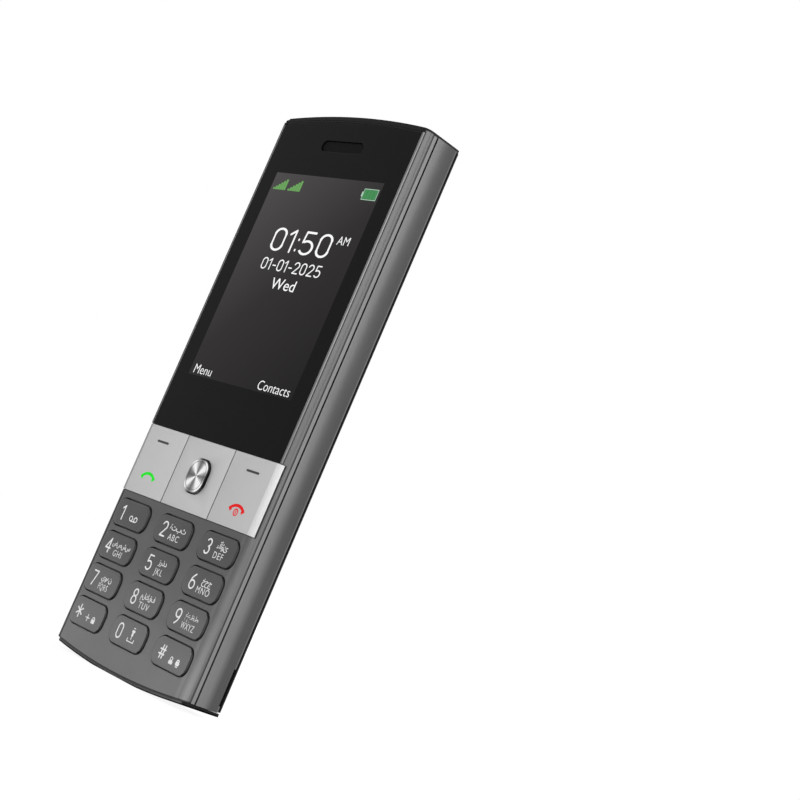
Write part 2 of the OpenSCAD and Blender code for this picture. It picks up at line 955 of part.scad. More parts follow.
// Side plate on the given side with its two actuator posts.
module side_plate(s) {
  x_in = nav_hw + plate_gap / 2;
  color([0.78, 0.78, 0.79])
    placed() {
      intersection() {
        long_bar()
          plate_section();
        side_box(s, x_in, hw, -over, over, z_panel0 + plate_gap, z_panel1 - plate_gap);
      }
      for (dz = [-plate_post_z, plate_post_z])
        pin(s * plate_post_x, z_panel_mid + dz, post_r, plate_d - snug, y_post);
    }
}

module left_plate() {
  side_plate(-1);
}

module right_plate() {
  side_plate(1);
}

module nav_web() {
  color([0.7, 0.7, 0.7])
    placed()
      translate([0, 0, z_panel_mid])
        difference() {
          union() {
            deep(y_web0, y_web1)
              rrect(web_w, web_h, web_r);
            for (s = [-1, 1]) {
              deep(plate_d + snug / 2, y_web0 + snug)
                translate([s * (web_w + web_hole_w) / 4, 0])
                  square([(web_w - web_hole_w) / 2, 2 * ridge], center = true);
              deep(y_web1 - snug, nav_pocket_d - snug / 2)
                translate([0, s * (web_h + web_hole_h) / 4])
                  square([2 * ridge, (web_h - web_hole_h) / 2], center = true);
            }
          }
          deep(0, y_far)
            rrect(web_hole_w, web_hole_h, ok_round + web_room / 2);
        }
}

module nav_plate() {
  x_in = nav_hw - plate_gap / 2;
  color([0.78, 0.78, 0.79])
    placed()
      difference() {
        union() {
          box(-x_in, x_in, -plate_proud, plate_d, z_panel0 + plate_gap, z_panel1 - plate_gap);
          for (p = nav_posts)
            pin(p[0], z_panel_mid + p[1], nav_post_r, plate_d - snug, y_post);
        }
        translate([0, 0, z_panel_mid])
          deep(-over, over)
            rrect(ok_w + 2 * ok_gap, ok_h + 2 * ok_gap, ok_round + ok_gap);
      }
}

module ok_button() {
  color([0.75, 0.75, 0.76])
    placed()
      translate([0, 0, z_panel_mid]) {
        deep(ok_lip - ok_proud, ok_base)
          rrect(ok_w, ok_h, ok_round);
        deep(-ok_proud, ok_lip - ok_proud)
          rrect(ok_w - ok_lip, ok_h - ok_lip, ok_round - ok_lip / 2);
        pin(0, 0, post_r, ok_base - snug, y_post);
      }
}

// One key: crowned cap, flange behind the face and actuator post.
module key_cap(c, r) {
  color([0.35, 0.35, 0.36])
    placed()
      translate([key_x(c), 0, key_z(r)]) {
        intersection() {
          deep(-key_proud, y_flange + snug)
            rrect(key_w, key_h, key_round);
          translate([0, key_crown_x - key_proud, -key_h])
            cylinder(r = key_crown_x, h = 2 * key_h, $fn = fine);
          translate([-key_w, key_crown_z - key_proud, 0])
            rotate([0, 90, 0])
              cylinder(r = key_crown_z, h = 2 * key_w, $fn = fine);
        }
        deep(y_flange, y_flange + flange_t)
          rrect(key_w + 2 * flange_w, key_h + 2 * flange_w, key_round);
        pin(0, 0, post_r, y_flange + flange_t - snug, y_post);
      }
}

module key_1() {
  key_cap(0, 3);
}

module key_2() {
  key_cap(1, 3);
}

module key_3() {
  key_cap(2, 3);
}

module key_4() {
  key_cap(0, 2);
}

module key_5() {
  key_cap(1, 2);
}

module key_6() {
  key_cap(2, 2);
}

module key_7() {
  key_cap(0, 1);
}

module key_8() {
  key_cap(1, 1);
}

module key_9() {
  key_cap(2, 1);
}

module key_star() {
  key_cap(0, 0);
}

module key_0() {
  key_cap(1, 0);
}

module key_hash() {
  key_cap(2, 0);
}

// Holes or domes at every actuator post.
module at_posts() {
  for (c = [0:key_cols - 1])
    for (r = [0:key_rows - 1])
      translate([key_x(c), 0, key_z(r)])
        children();
  for (p = plate_posts)
    translate([p[0], 0, z_panel_mid + p[1]])
      children();
  for (p = nav_posts)
    translate([p[0], 0, z_panel_mid + p[1]])
      children();
  translate([0, 0, z_panel_mid])
    children();
}

module keymat() {
  color([0.85, 0.85, 0.83])
    placed() {
      difference() {
        box(-mat_hw, mat_hw, y_mat0, y_mat1, z_mat0, z_mat1);
        at_posts()
          pin(0, 0, post_hole, 0, y_far);
      }
      difference() {
        box(-mat_hw, mat_hw, y_mat1, y_sheet, z_mat0, z_mat1);
        box(-mat_hw + mat_rim, mat_hw - mat_rim, 0, y_far, z_mat0 + mat_rim, z_mat1 - mat_rim);
      }
    }
}

module dome_sheet() {
  ball_r = (dome_r * dome_r + dome_h * dome_h) / (2 * dome_h);
  color([0.8, 0.78, 0.7])
    placed() {
      box(-mat_hw, mat_hw, y_sheet, y_board0, z_mat0, z_mat1);
      at_posts()
        intersection() {
          translate([0, y_dome + ball_r, 0])
            sphere(r = ball_r);
          box(-dome_r * 2, dome_r * 2, 0, y_board0 - snug, -dome_r * 2, dome_r * 2);
        }
    }
}

module main_board() {
  color([0.1, 0.3, 0.16])
    placed()
      difference() {
        box(-board_hw, board_hw, y_board0, y_board1, z_board0, z_board1);
        for (s = [-1, 1])
          for (z = screw_z)
            pin(s * screw_x, z, boss_r + gap, 0, y_far);
      }
}

// Tin can over the circuits, open towards the board.
module shield_can(x0, x1, z0, z1) {
  difference() {
    box(x0, x1, y_board1, y_board1 + can_t, z0, z1);
    box(x0 + can_tin, x1 - can_tin, y_board1 - over, y_board1 + can_t - can_tin, z0 + can_tin, z1 - can_tin);
  }
}

module rf_shield() {
  color([0.75, 0.76, 0.77])
    placed()
      shield_can(-rf_x, rf_w - rf_x, z_board0 + rf_foot, z_board0 + rf_foot + rf_h);
}

module logic_shield() {
  color([0.75, 0.76, 0.77])
    placed()
      shield_can(cam_hw + logic_gap, board_hw - logic_side, z_cam - cam_hw, z_board1 - logic_head);
}

module vibration_motor() {
  color([0.7, 0.7, 0.72])
    placed()
      pin(-cam_hw - motor_gap - motor_r, z_cam + motor_rise, motor_r, y_board1, y_board1 + motor_t);
}

module microphone() {
  color([0.75, 0.72, 0.6])
    placed()
      pin(mic_x, z_board0 + mic_r, mic_r, y_board1, y_board1 + mic_t);
}

module usb_socket() {
  y_tongue = y_board1 + usb_shell + usb_tongue_t;
  color([0.78, 0.78, 0.8])
    placed()
      translate([0, 0, socket_in]) {
        difference() {
          linear_extrude(height = usb_l)
            usb_outline(0);
          translate([0, 0, -over])
            linear_extrude(height = usb_l - usb_back + over)
              usb_outline(-usb_shell);
        }
        box(-usb_tongue_hw, usb_tongue_hw, y_tongue, y_tongue + usb_tongue_t, socket_in,
          usb_l - usb_back / 2);
      }
}

module audio_jack() {
  z_end = socket_in + jack_l + jack_end;
  color([0.14, 0.14, 0.15])
    placed()
      difference() {
        union() {
          box(jack_x - jack_hw, jack_x + jack_hw, y_board1, y_deck - snug, z_jack_body, z_end);
          translate([jack_x, jack_y, socket_in])
            cylinder(r = jack_collar, h = z_jack_body - socket_in + over);
        }
        box(jack_x - jack_hw - over, jack_x + jack_hw + over, 0, y_board1, 0, z_top);
        translate([jack_x, jack_y, -over])
          cylinder(r = jack_r, h = socket_in + jack_l + over);
      }
}

module battery() {
  color([0.2, 0.22, 0.26])
    placed()
      translate([0, 0, (z_batt0 + z_batt1) / 2])
        deep(y_batt0, y_batt1)
          rrect(batt_w, z_batt1 - z_batt0, batt_r);
}

module battery_connector() {
  color([0.15, 0.15, 0.15])
    placed() {
      box(-conn_hw, conn_hw, y_board1, conn_y1, z_conn1 - conn_foot, z_conn1);
      for (i = [-1:1])
        translate([i * blade_pitch, 0, 0])
          box(-blade_hw, blade_hw, conn_y0, conn_y1, z_conn1 - conn_foot / 2, z_batt0);
    }
}

// Card socket: flat metal cover over a slot that opens towards the battery.
module card_socket(place) {
  x0 = place * (card_w + card_lane) - card_w / 2;
  x1 = x0 + card_w;
  y_slot = y_board1 + card_skin;
  color([0.76, 0.76, 0.78])
    placed()
      difference() {
        box(x0, x1, y_board1, y_board1 + card_t, z_card0, z_card0 + card_h);
        box(x0 + card_skin, x1 - card_skin, y_slot, y_slot + card_slot, z_card0 - over,
          z_card0 + card_h - card_skin);
      }
}

module sim_socket_a() {
  card_socket(-1);
}

module sim_socket_b() {
  card_socket(0);
}

module memory_socket() {
  card_socket(1);
}

module antenna_strip() {
  z0 = z_bot + aerial_foot;
  z1 = z0 + aerial_h;
  x_in = aerial_hw - aerial_w;
  color([0.75, 0.62, 0.3])
    placed()
      difference() {
        box(-aerial_hw, aerial_hw, y_rear1, y_rear1 + aerial_t, z0, z1);
        box(-x_in, x_in, 0, y_far, z0 + aerial_w, z1 - aerial_w);
      }
}

module loudspeaker() {
  color([0.12, 0.12, 0.13])
    placed()
      translate([0, 0, z_speaker])
        deep(y_deck - speaker_t, y_deck)
          rrect(speaker_w, speaker_h, speaker_r);
}

module speaker_mesh() {
  color([0.1, 0.1, 0.1])
    placed()
      translate([0, 0, z_cam])
        deep(y_cover_in - speaker_mesh_t, y_cover_in)
          arc_band(slot_r, slot_w + 2 * speaker_mesh_over, slot_a);
}

module camera_module() {
  color([0.1, 0.1, 0.11])
    placed() {
      box(-cam_hw, cam_hw, y_board1, y_board1 + cam_base_t, z_cam - cam_hw, z_cam + cam_hw);
      pin(0, z_cam, barrel_r, y_board1 + cam_base_t - snug, y_cover_in - barrel_gap);
    }
}

module camera_rim() {
  color([0.13, 0.13, 0.13])
    placed()
      turned()
        union() {
          translate([disc_r - rim_w, y_disc_seat])
            square([rim_w, y_rim - rim_round - y_disc_seat]);
          translate([disc_r - rim_w + rim_round, y_disc_seat])
            square([rim_w - 2 * rim_round, y_rim - y_disc_seat]);
          for (x = [disc_r - rim_w + rim_round, disc_r - rim_round])
            translate([x, y_rim - rim_round])
              circle(r = rim_round);
        }
}

module camera_plate() {
  y_low = y_rim - 5 * disc_step;
  color([0.03, 0.03, 0.03])
    placed()
      turned()
        union() {
          translate([inner_out + snug, y_disc_seat])
            square([ring_out - inner_out - snug, y_low - y_disc_seat]);
          translate([ring_mid + disc_lane / 2, y_disc_seat])
            square([ring_out - ring_mid - disc_lane / 2, y_rim - 2 * disc_step - y_disc_seat]);
          translate([ring_in, y_disc_seat])
            square([ring_mid - ring_in - disc_lane / 2, y_rim - 3 * disc_step - y_disc_seat]);
        }
}

module camera_inner_ring() {
  color([0.5, 0.5, 0.53])
    placed()
      turned()
        translate([inner_in, y_disc_seat])
          square([inner_out - inner_in, y_rim - inner_drop - y_disc_seat]);
}

module camera_glass() {
  color([0.03, 0.03, 0.05])
    placed()
      turned()
        translate([0, y_disc_seat])
          square([eye_r - snug, y_rim - eye_drop - y_disc_seat]);
}

module torch_light() {
  color([0.95, 0.92, 0.7])
    placed()
      translate([0, torch_y, z_top - wall - snug])
        box(-led_hw, led_hw, -led_hw, led_hw, -led_t, 0);
}

module torch_lens() {
  color([0.85, 0.88, 0.9])
    placed()
      translate([0, torch_y, z_top - wall])
        cylinder(r = torch_r, h = wall + cap_proud - snug);
}

module screws() {
  color([0.6, 0.6, 0.62])
    placed()
      for (s = [-1, 1])
        for (z = screw_z)
          difference() {
            union() {
              pin(s * screw_x, z, screw_r, screw_tip, y_rear1 - head_t + snug);
              pin(s * screw_x, z, head_r, y_rear1 - head_t, y_rear1 - snug);
            }
            translate([s * screw_x, y_rear1 - drive_d, z])
              rotate([-90, 0, 0])
                cylinder(r = drive_r, h = over, $fn = 6);
          }
}

front_shell();
mid_frame();
rear_shell();
back_cover();
top_cap();
bottom_cap();
bezel_trim();
display_glass();
glass_tape();
display_module();
earpiece_mesh();
earpiece_receiver();
left_plate();
right_plate();
nav_web();
nav_plate();
ok_button();
key_1();
key_2();
key_3();
key_4();
key_5();
key_6();
key_7();
key_8();
key_9();
key_star();
key_0();
key_hash();
keymat();
dome_sheet();
main_board();
rf_shield();
logic_shield();
vibration_motor();
microphone();
usb_socket();
audio_jack();
battery();
battery_connector();
sim_socket_a();
sim_socket_b();
memory_socket();
antenna_strip();
loudspeaker();
speaker_mesh();
camera_module();
camera_rim();
camera_plate();
camera_inner_ring();
camera_glass();
torch_light();
torch_lens();
screws();
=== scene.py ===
"""Feature phone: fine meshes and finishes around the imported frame, in a plain white studio.

Lengths are millimetres in the phone's drawing frame: x to the right, y into the phone from its
front face, z up from its lower end. Form.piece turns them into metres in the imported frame.
"""

import logging
import math
from abc import ABC, abstractmethod
from dataclasses import dataclass, field
from enum import Enum
from typing import Callable, Iterable, Sequence

import bmesh
import bpy
from mathutils import Euler, Matrix, Vector


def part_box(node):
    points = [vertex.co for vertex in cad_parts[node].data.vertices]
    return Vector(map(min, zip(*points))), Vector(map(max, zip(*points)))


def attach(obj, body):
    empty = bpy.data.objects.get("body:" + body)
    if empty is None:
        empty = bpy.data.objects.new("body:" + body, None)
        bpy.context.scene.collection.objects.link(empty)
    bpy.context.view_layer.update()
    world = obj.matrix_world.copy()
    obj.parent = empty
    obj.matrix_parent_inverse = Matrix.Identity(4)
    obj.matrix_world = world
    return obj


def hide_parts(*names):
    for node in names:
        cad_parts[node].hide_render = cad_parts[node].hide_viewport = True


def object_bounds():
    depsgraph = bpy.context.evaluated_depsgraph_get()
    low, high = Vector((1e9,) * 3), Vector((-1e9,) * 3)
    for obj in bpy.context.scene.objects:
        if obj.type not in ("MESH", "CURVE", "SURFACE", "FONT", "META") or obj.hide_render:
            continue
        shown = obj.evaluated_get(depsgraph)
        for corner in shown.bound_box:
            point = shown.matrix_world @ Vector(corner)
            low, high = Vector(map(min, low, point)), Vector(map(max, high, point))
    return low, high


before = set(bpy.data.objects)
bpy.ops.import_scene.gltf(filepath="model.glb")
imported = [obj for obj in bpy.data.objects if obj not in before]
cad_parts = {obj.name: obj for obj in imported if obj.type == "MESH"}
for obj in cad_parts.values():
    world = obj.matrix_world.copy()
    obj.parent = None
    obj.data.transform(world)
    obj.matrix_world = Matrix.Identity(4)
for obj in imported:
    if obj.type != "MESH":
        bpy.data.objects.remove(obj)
CAD_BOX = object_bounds()

LOG = logging.getLogger("feature_phone")
MM = 0.001
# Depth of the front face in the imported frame.
FACE_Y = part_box("front_shell")[0].y / MM
SMOOTH_ANGLE = math.radians(32)
# Distances within which corners merge.
WELD = 1e-4
FINE_WELD = 1e-5
# Thickness of print, and its depths about the front face.
PRINT = 0.04
PRINT_DEPTHS = (-PRINT / 2, PRINT / 2)
# Range of a noise in which clouds run from dark to light.
CLOUD_RANGE = (0.3, 0.7)
# Cosine from which an edge counts as running along an axis.
ALIGNED = 0.999

Colour = tuple[float, float, float]
Point = tuple[float, float, float]
# A place across and along the length, or the two ends of a range.
Spot = tuple[float, float]


def srgb(red: float, green: float, blue: float) -> Colour:
    """Turn a colour as a screen shows it into the linear colour of a shader.

    Args:
        red: Red from 0 to 255.
        green: Green from 0 to 255.
        blue: Blue from 0 to 255.

    Returns:
        The three linear parts.
    """
    def part(level: float) -> float:
        """Undo the screen curve of one part."""
        share = level / 255
        return share / 12.92 if share <= 0.04045 else ((share + 0.055) / 1.055) ** 2.4
    return part(red), part(green), part(blue)


def grey(level: float) -> Colour:
    """Give a neutral colour from its level on a screen, 0 to 255."""
    return srgb(level, level, level)


class Axis(Enum):
    """Axes of the drawing frame."""

    ACROSS = Vector((1, 0, 0))
    DEPTH = Vector((0, 1, 0))
    LENGTH = Vector((0, 0, 1))


class Cut(Enum):
    """Ways in which one form changes another."""

    AWAY = "DIFFERENCE"
    COMMON = "INTERSECT"


class Side(Enum):
    """Sides of the phone as seen from the front."""

    LEFT = -1
    RIGHT = 1


class Align(Enum):
    """Places of a line of lettering against its spot."""

    MIDDLE = "CENTER"
    LEFT = "LEFT"
    RIGHT = "RIGHT"


class NodeTree:
    """The node tree of a material or of the world, with short calls to add and join nodes."""

    def __init__(self, tree: bpy.types.NodeTree) -> None:
        """Take a node tree in hand."""
        self.nodes = tree.nodes
        self.links = tree.links

    def add(self, kind: str, inputs: dict[str | int, object] | None = None, **settings: object
            ) -> bpy.types.Node:
        """Add a node.

        Args:
            kind: Node type without its ShaderNode prefix.
            inputs: Socket values, or sockets of other nodes to link from.
            settings: Properties of the node.

        Returns:
            The new node.
        """
        made = self.nodes.new("ShaderNode" + kind)
        for name, value in settings.items():
            setattr(made, name, value)
        for name, value in (inputs or {}).items():
            self.feed(made.inputs[name], value)
        return made

    def feed(self, socket: bpy.types.NodeSocket, value: object) -> None:
        """Link a socket from another socket, or set its value.

        Args:
            socket: Socket to fill.
            value: Another socket, a colour or a number.
        """
        if isinstance(value, bpy.types.NodeSocket):
            self.links.new(value, socket)
        elif isinstance(value, tuple) and len(value) == 3 and socket.type == "RGBA":
            socket.default_value = (*value, 1.0)
        else:
            socket.default_value = value

    def dress(self, **inputs: object) -> None:
        """Set or link sockets of the shader, with words of their names joined by underscores."""
        for name, value in inputs.items():
            self.feed(self.nodes["Principled BSDF"].inputs[name.replace("_", " ")], value)

    def place(self, centre: Point = (0, 0, 0)) -> bpy.types.NodeSocket:
        """Give the place on the piece in drawing millimetres, counted from a centre.

        Args:
            centre: Zero point in drawing millimetres.

        Returns:
            The vector socket.
        """
        spot = self.add("TexCoord").outputs["Object"]
        shift = (-centre[0], -centre[1] - FACE_Y, -centre[2])
        return self.add("Mapping", {"Vector": spot, "Location": shift,
                                    "Scale": (1 / MM,) * 3}).outputs["Vector"]

    def axes(self, vector: bpy.types.NodeSocket) -> tuple[bpy.types.NodeSocket, ...]:
        """Split a vector into its three parts."""
        return tuple(self.add("SeparateXYZ", {"Vector": vector}).outputs)

    def math(self, work: str, *terms: object) -> bpy.types.NodeSocket:
        """Work out one number from others.

        Args:
            work: Name of the operation.
            terms: Numbers or sockets.

        Returns:
            The socket of the result.
        """
        return self.add("Math", dict(enumerate(terms)), operation=work).outputs[0]

    def noise(self, vector: bpy.types.NodeSocket, size: float, detail: float = 2.0
              ) -> bpy.types.NodeSocket:
        """Give cloudy noise.

        Args:
            vector: Place in millimetres.
            size: Size of a cloud in millimetres.
            detail: Number of finer layers.

        Returns:
            The noise from 0 to 1.
        """
        return self.add("TexNoise", {"Vector": vector, "Scale": 1 / size, "Detail": detail}).outputs[0]

    def spread(self, value: bpy.types.NodeSocket, low: float, high: float, start: float = 0.0,
               stop: float = 1.0) -> bpy.types.NodeSocket:
        """Map a number from start..stop to low..high, held at both ends.

        Args:
            value: Number to map.
            low: Result at the start.
            high: Result at the stop.
            start: Number that gives the low result.
            stop: Number that gives the high one.

        Returns:
            The socket of the result.
        """
        return self.add("MapRange", {"Value": value, "From Min": start, "From Max": stop,
                                     "To Min": low, "To Max": high}).outputs[0]

    def ramp(self, value: bpy.types.NodeSocket, stops: Sequence[tuple[float, Colour]]
             ) -> bpy.types.NodeSocket:
        """Turn a number into a colour.

        Args:
            value: Number from 0 to 1.
            stops: Places and their colours, in order.

        Returns:
            The colour socket.
        """
        made = self.add("ValToRGB", {"Fac": value})
        elements = made.color_ramp.elements
        while len(elements) < len(stops):
            elements.new(1.0)
        for element, (spot, colour) in zip(elements, stops):
            element.position = spot
            element.color = (*colour, 1.0)
        return made.outputs["Color"]

    def tint(self, colour: Colour, value: bpy.types.NodeSocket, share: float
             ) -> bpy.types.NodeSocket:
        """Lighten and darken a colour by a share, led by a number from 0 to 1.

        Args:
            colour: Colour to vary.
            value: Number from 0 to 1 that leads it.
            share: Share by which it varies.

        Returns:
            The colour socket.
        """
        dark = tuple(part * (1 - share) for part in colour)
        light = tuple(part * (1 + share) for part in colour)
        return self.ramp(value, tuple(zip(CLOUD_RANGE, (dark, light))))

    def relief(self, height: bpy.types.NodeSocket, depth: float, strength: float = 1.0
               ) -> None:
        """Give the shader a bump.

        Args:
            height: Height from 0 to 1.
            depth: Depth of the relief in millimetres.
            strength: Share of the bump that shows.
        """
        bump = self.add("Bump", {"Height": height, "Distance": depth * MM, "Strength": strength})
        self.dress(Normal=bump.outputs["Normal"])

    def turn_share(self, centre: Point) -> bpy.types.NodeSocket:
        """Give the share of a turn about a depth axis.

        Args:
            centre: Point on the axis in drawing millimetres.

        Returns:
            The share socket.
        """
        x, _, z = self.axes(self.place(centre))
        flat = self.add("CombineXYZ", {"X": x, "Y": z}).outputs[0]
        return self.add("TexGradient", {"Vector": flat}, gradient_type="RADIAL").outputs[1]

    def radius(self, centre: Point) -> bpy.types.NodeSocket:
        """Give the distance from a depth axis in millimetres.

        Args:
            centre: Point on the axis in drawing millimetres.

        Returns:
            The distance socket.
        """
        x, _, z = self.axes(self.place(centre))
        flat = self.add("CombineXYZ", {"X": x, "Y": z}).outputs[0]
        return self.add("VectorMath", {0: flat}, operation="LENGTH").outputs["Value"]


class Finish(ABC):
    """A surface finish that makes one material when it is first needed."""

    title: str
    _made: dict["Finish", bpy.types.Material] = {}

    @abstractmethod
    def paint(self, tree: NodeTree) -> None:
        """Fill the node tree of the material."""

    def material(self) -> bpy.types.Material:
        """Give the material, made once for each finish.

        Returns:
            The material.
        """
        if self not in Finish._made:
            made = bpy.data.materials.new(self.title)
            made.use_nodes = True
            self.paint(NodeTree(made.node_tree))
            Finish._made[self] = made
        return Finish._made[self]


@dataclass(frozen=True)
class MouldedPlastic(Finish):
    """Moulded plastic with a fine spark-eroded grain and slight clouding."""

    title: str
    colour: Colour
    roughness: float = 0.5
    grain: float = 0.16
    depth: float = 0.012
    clouds: float = 0.05
    specular: float = 0.4
    cloud_size: float = 9.0
    unevenness: float = 0.06

    def paint(self, tree: NodeTree) -> None:
        """Fill the tree with clouded colour, uneven gloss and grain.

        Args:
            tree: Tree of the material.
        """
        place = tree.place()
        grain = tree.noise(place, self.grain, 3)
        tree.dress(Base_Color=self.colouring(tree, place),
                   Roughness=tree.spread(grain, self.roughness - self.unevenness,
                                         self.roughness + self.unevenness),
                   Specular_IOR_Level=self.specular)
        tree.relief(grain, self.depth)

    def colouring(self, tree: NodeTree, place: bpy.types.NodeSocket) -> bpy.types.NodeSocket:
        """Give the clouded colour of the plastic."""
        return tree.tint(self.colour, tree.noise(place, self.cloud_size), self.clouds)


@dataclass(frozen=True)
class Mark:
    """A darker or lighter place on a finish: a box, cut by a ring about the middle line if given.

    The ring is the height of its centre, its inner radius and its outer radius. A size of a
    hundred millimetres or more sets no limit.
    """

    x: Spot = (-60.0, 60.0)
    y: Spot = (-60.0, 60.0)
    z: Spot = (-10.0, 140.0)
    ring: tuple[float, float, float] | None = None
    share: float = 0.3
    limit: float = 100.0

    def factor(self, tree: NodeTree, place: bpy.types.NodeSocket) -> bpy.types.NodeSocket:
        """Give the share of light that is left: the mark's share inside, 1 outside.

        Args:
            tree: Node tree of the material.
            place: Place on the piece in drawing millimetres.

        Returns:
            The factor socket.
        """
        tests = list(zip(tree.axes(place), (self.x, self.y, self.z)))
        if self.ring:
            tests.append((tree.radius((0.0, 0.0, self.ring[0])), self.ring[1:]))
        inside = None
        for value, (low, high) in tests:
            if high - low < self.limit:
                test = tree.math("COMPARE", value, (low + high) / 2, (high - low) / 2)
                inside = tree.math("MULTIPLY", inside, test) if inside else test
        return tree.spread(inside, 1.0, self.share)


@dataclass(frozen=True)
class FadedPlastic(MouldedPlastic):
    """Moulded plastic whose faces pale towards the lower end, with darker and lighter marks.

    The fade gives heights and the grey level of a face there. The face gives the depths between
    which that tone turns into the plain colour of the sides, and the painted side highlight is the
    grey level that a side reaches at its front and lower end, painted in place of a lamp's reflection.
    """

    fade: tuple[Spot, ...] = ((0, 110), (130, 90))
    face: Spot = (0.5, 1.5)
    painted_side_highlight: float = 0.0
    side_depth: Spot = (5.2, 6.8)
    side_length: Spot = (10.0, 70.0)
    marks: tuple[Mark, ...] = ()

    def paint(self, tree: NodeTree) -> None:
        """Fill the tree as for plain plastic, with the gloss of the marks.

        Args:
            tree: Tree of the material.
        """
        super().paint(tree)
        place = tree.place()
        gloss = None
        for mark in self.marks:
            factor = mark.factor(tree, place)
            gloss = tree.math("MULTIPLY", factor, gloss if gloss else self.specular)
        if gloss:
            tree.dress(Specular_IOR_Level=gloss)

    def colouring(self, tree: NodeTree, place: bpy.types.NodeSocket) -> bpy.types.NodeSocket:
        """Give the tone by the place along the length and by the depth.

        Args:
            tree: Tree of the material.
            place: Place on the piece in drawing millimetres.

        Returns:
            The tone socket.
        """
        _, y, z = tree.axes(place)
        reach = self.fade[-1][0]
        pale = tree.ramp(tree.spread(z, 0.0, 1.0, 0.0, reach),
                         [(spot / reach, grey(level)) for spot, level in self.fade])
        side = self.colour[0]
        # Painted highlight: the sides grow lighter towards their front and lower end, in place of a
        # lamp's reflection.
        if self.painted_side_highlight:
            near = tree.math("MULTIPLY", tree.spread(y, 1.0, 0.0, *self.side_depth),
                             tree.spread(z, 1.0, 0.0, *self.side_length))
            side = tree.spread(near, self.colour[0], grey(self.painted_side_highlight)[0])
        aside = tree.spread(y, 0.0, 1.0, *self.face)
        tone = tree.math("MULTIPLY_ADD", aside, tree.math("SUBTRACT", side, pale), pale)
        tone = self.patterned(tree, tone, place)
        cloud = tree.spread(tree.noise(place, self.cloud_size), 1 - self.clouds, 1 + self.clouds,
                            *CLOUD_RANGE)
        tone = tree.math("MULTIPLY", tone, cloud)
        for mark in self.marks:
            tone = tree.math("MULTIPLY", tone, mark.factor(tree, place))
        return tone

    def patterned(self, tree: NodeTree, tone: bpy.types.NodeSocket, place: bpy.types.NodeSocket
                  ) -> bpy.types.NodeSocket:
        """Give the tone of the faces, here without a pattern."""
        return tone


@dataclass(frozen=True)
class LanedPlastic(FadedPlastic):
    """Faded plastic with broad soft lengthwise lanes that grow faint at the lower end, and painted
    highlights on the plateau round the camera and on its edge.
    """

    lanes: tuple[Spot, ...] = ()
    half: float = 25.0
    edge: float = 0.35
    faint: Spot = (12.0, 52.0)
    faint_share: float = 0.25
    plateau: Spot = (11.5, 11.7)
    plateau_share: float = 1.2
    # Painted highlight on the plateau round the camera: centre height, inner and outer radius.
    gleam: tuple[float, float, float] = (101.0, 14.0, 16.0)
    gleam_across: Spot = (7.0, -3.0)
    gleam_share: float = 3.2
    # Painted highlight on the plateau's edge: centre height, inner and outer radius.
    wall_highlight: tuple[float, float, float] = (101.0, 16.3, 17.2)
    wall_highlight_across: Spot = (-13.0, 0.0)
    wall_highlight_share: float = 2.3

    def patterned(self, tree: NodeTree, tone: bpy.types.NodeSocket, place: bpy.types.NodeSocket
                  ) -> bpy.types.NodeSocket:
        """Give the tone with its lanes; a lane is its left edge and its share of the tone.

        Args:
            tree: Tree of the material.
            tone: Tone without lanes.
            place: Place on the piece in drawing millimetres.

        Returns:
            The tone socket.
        """
        x, y, z = tree.axes(place)
        stops = []
        for (left, share), (right, _) in zip(self.lanes, (*self.lanes[1:], (self.half, 0.0))):
            for spot in (left + self.edge, right - self.edge):
                stops.append(((spot + self.half) / (2 * self.half), (share / 2,) * 3))
        lane = tree.math("MULTIPLY", tree.ramp(tree.spread(x, 0, 1, -self.half, self.half), stops), 2.0)
        full = tree.math("MAXIMUM", tree.spread(z, self.faint_share, 1.0, *self.faint),
                         tree.spread(y, 1.0, 0.0, *reversed(self.face)))
        shows = tree.math("MULTIPLY", full, tree.spread(y, 1.0, 0.0, *self.plateau))
        tone = tree.math("MULTIPLY", tone, tree.math(
            "MULTIPLY_ADD", shows, tree.math("SUBTRACT", lane, 1.0), 1.0))
        # Painted highlight on the plateau round the camera, strongest towards one side.
        near = tree.spread(tree.radius((0.0, 0.0, self.gleam[0])), 1.0, 0.0, *self.gleam[1:])
        side = tree.spread(x, self.gleam_share - 1.0, 0.0, *self.gleam_across)
        raised = tree.spread(y, 1.0, self.plateau_share, *self.plateau)
        gleam = tree.math("MULTIPLY_ADD", near, side, raised)
        # Painted highlight on the plateau's edge, strongest towards one side.
        wall_highlight = tree.spread(Mark(ring=self.wall_highlight, share=0.0).factor(tree, place), 1.0, 0.0)
        line = tree.spread(x, self.wall_highlight_share - 1.0, 0.0, *self.wall_highlight_across)
        return tree.math("MULTIPLY", tone, tree.math("MULTIPLY_ADD", wall_highlight, line, gleam))


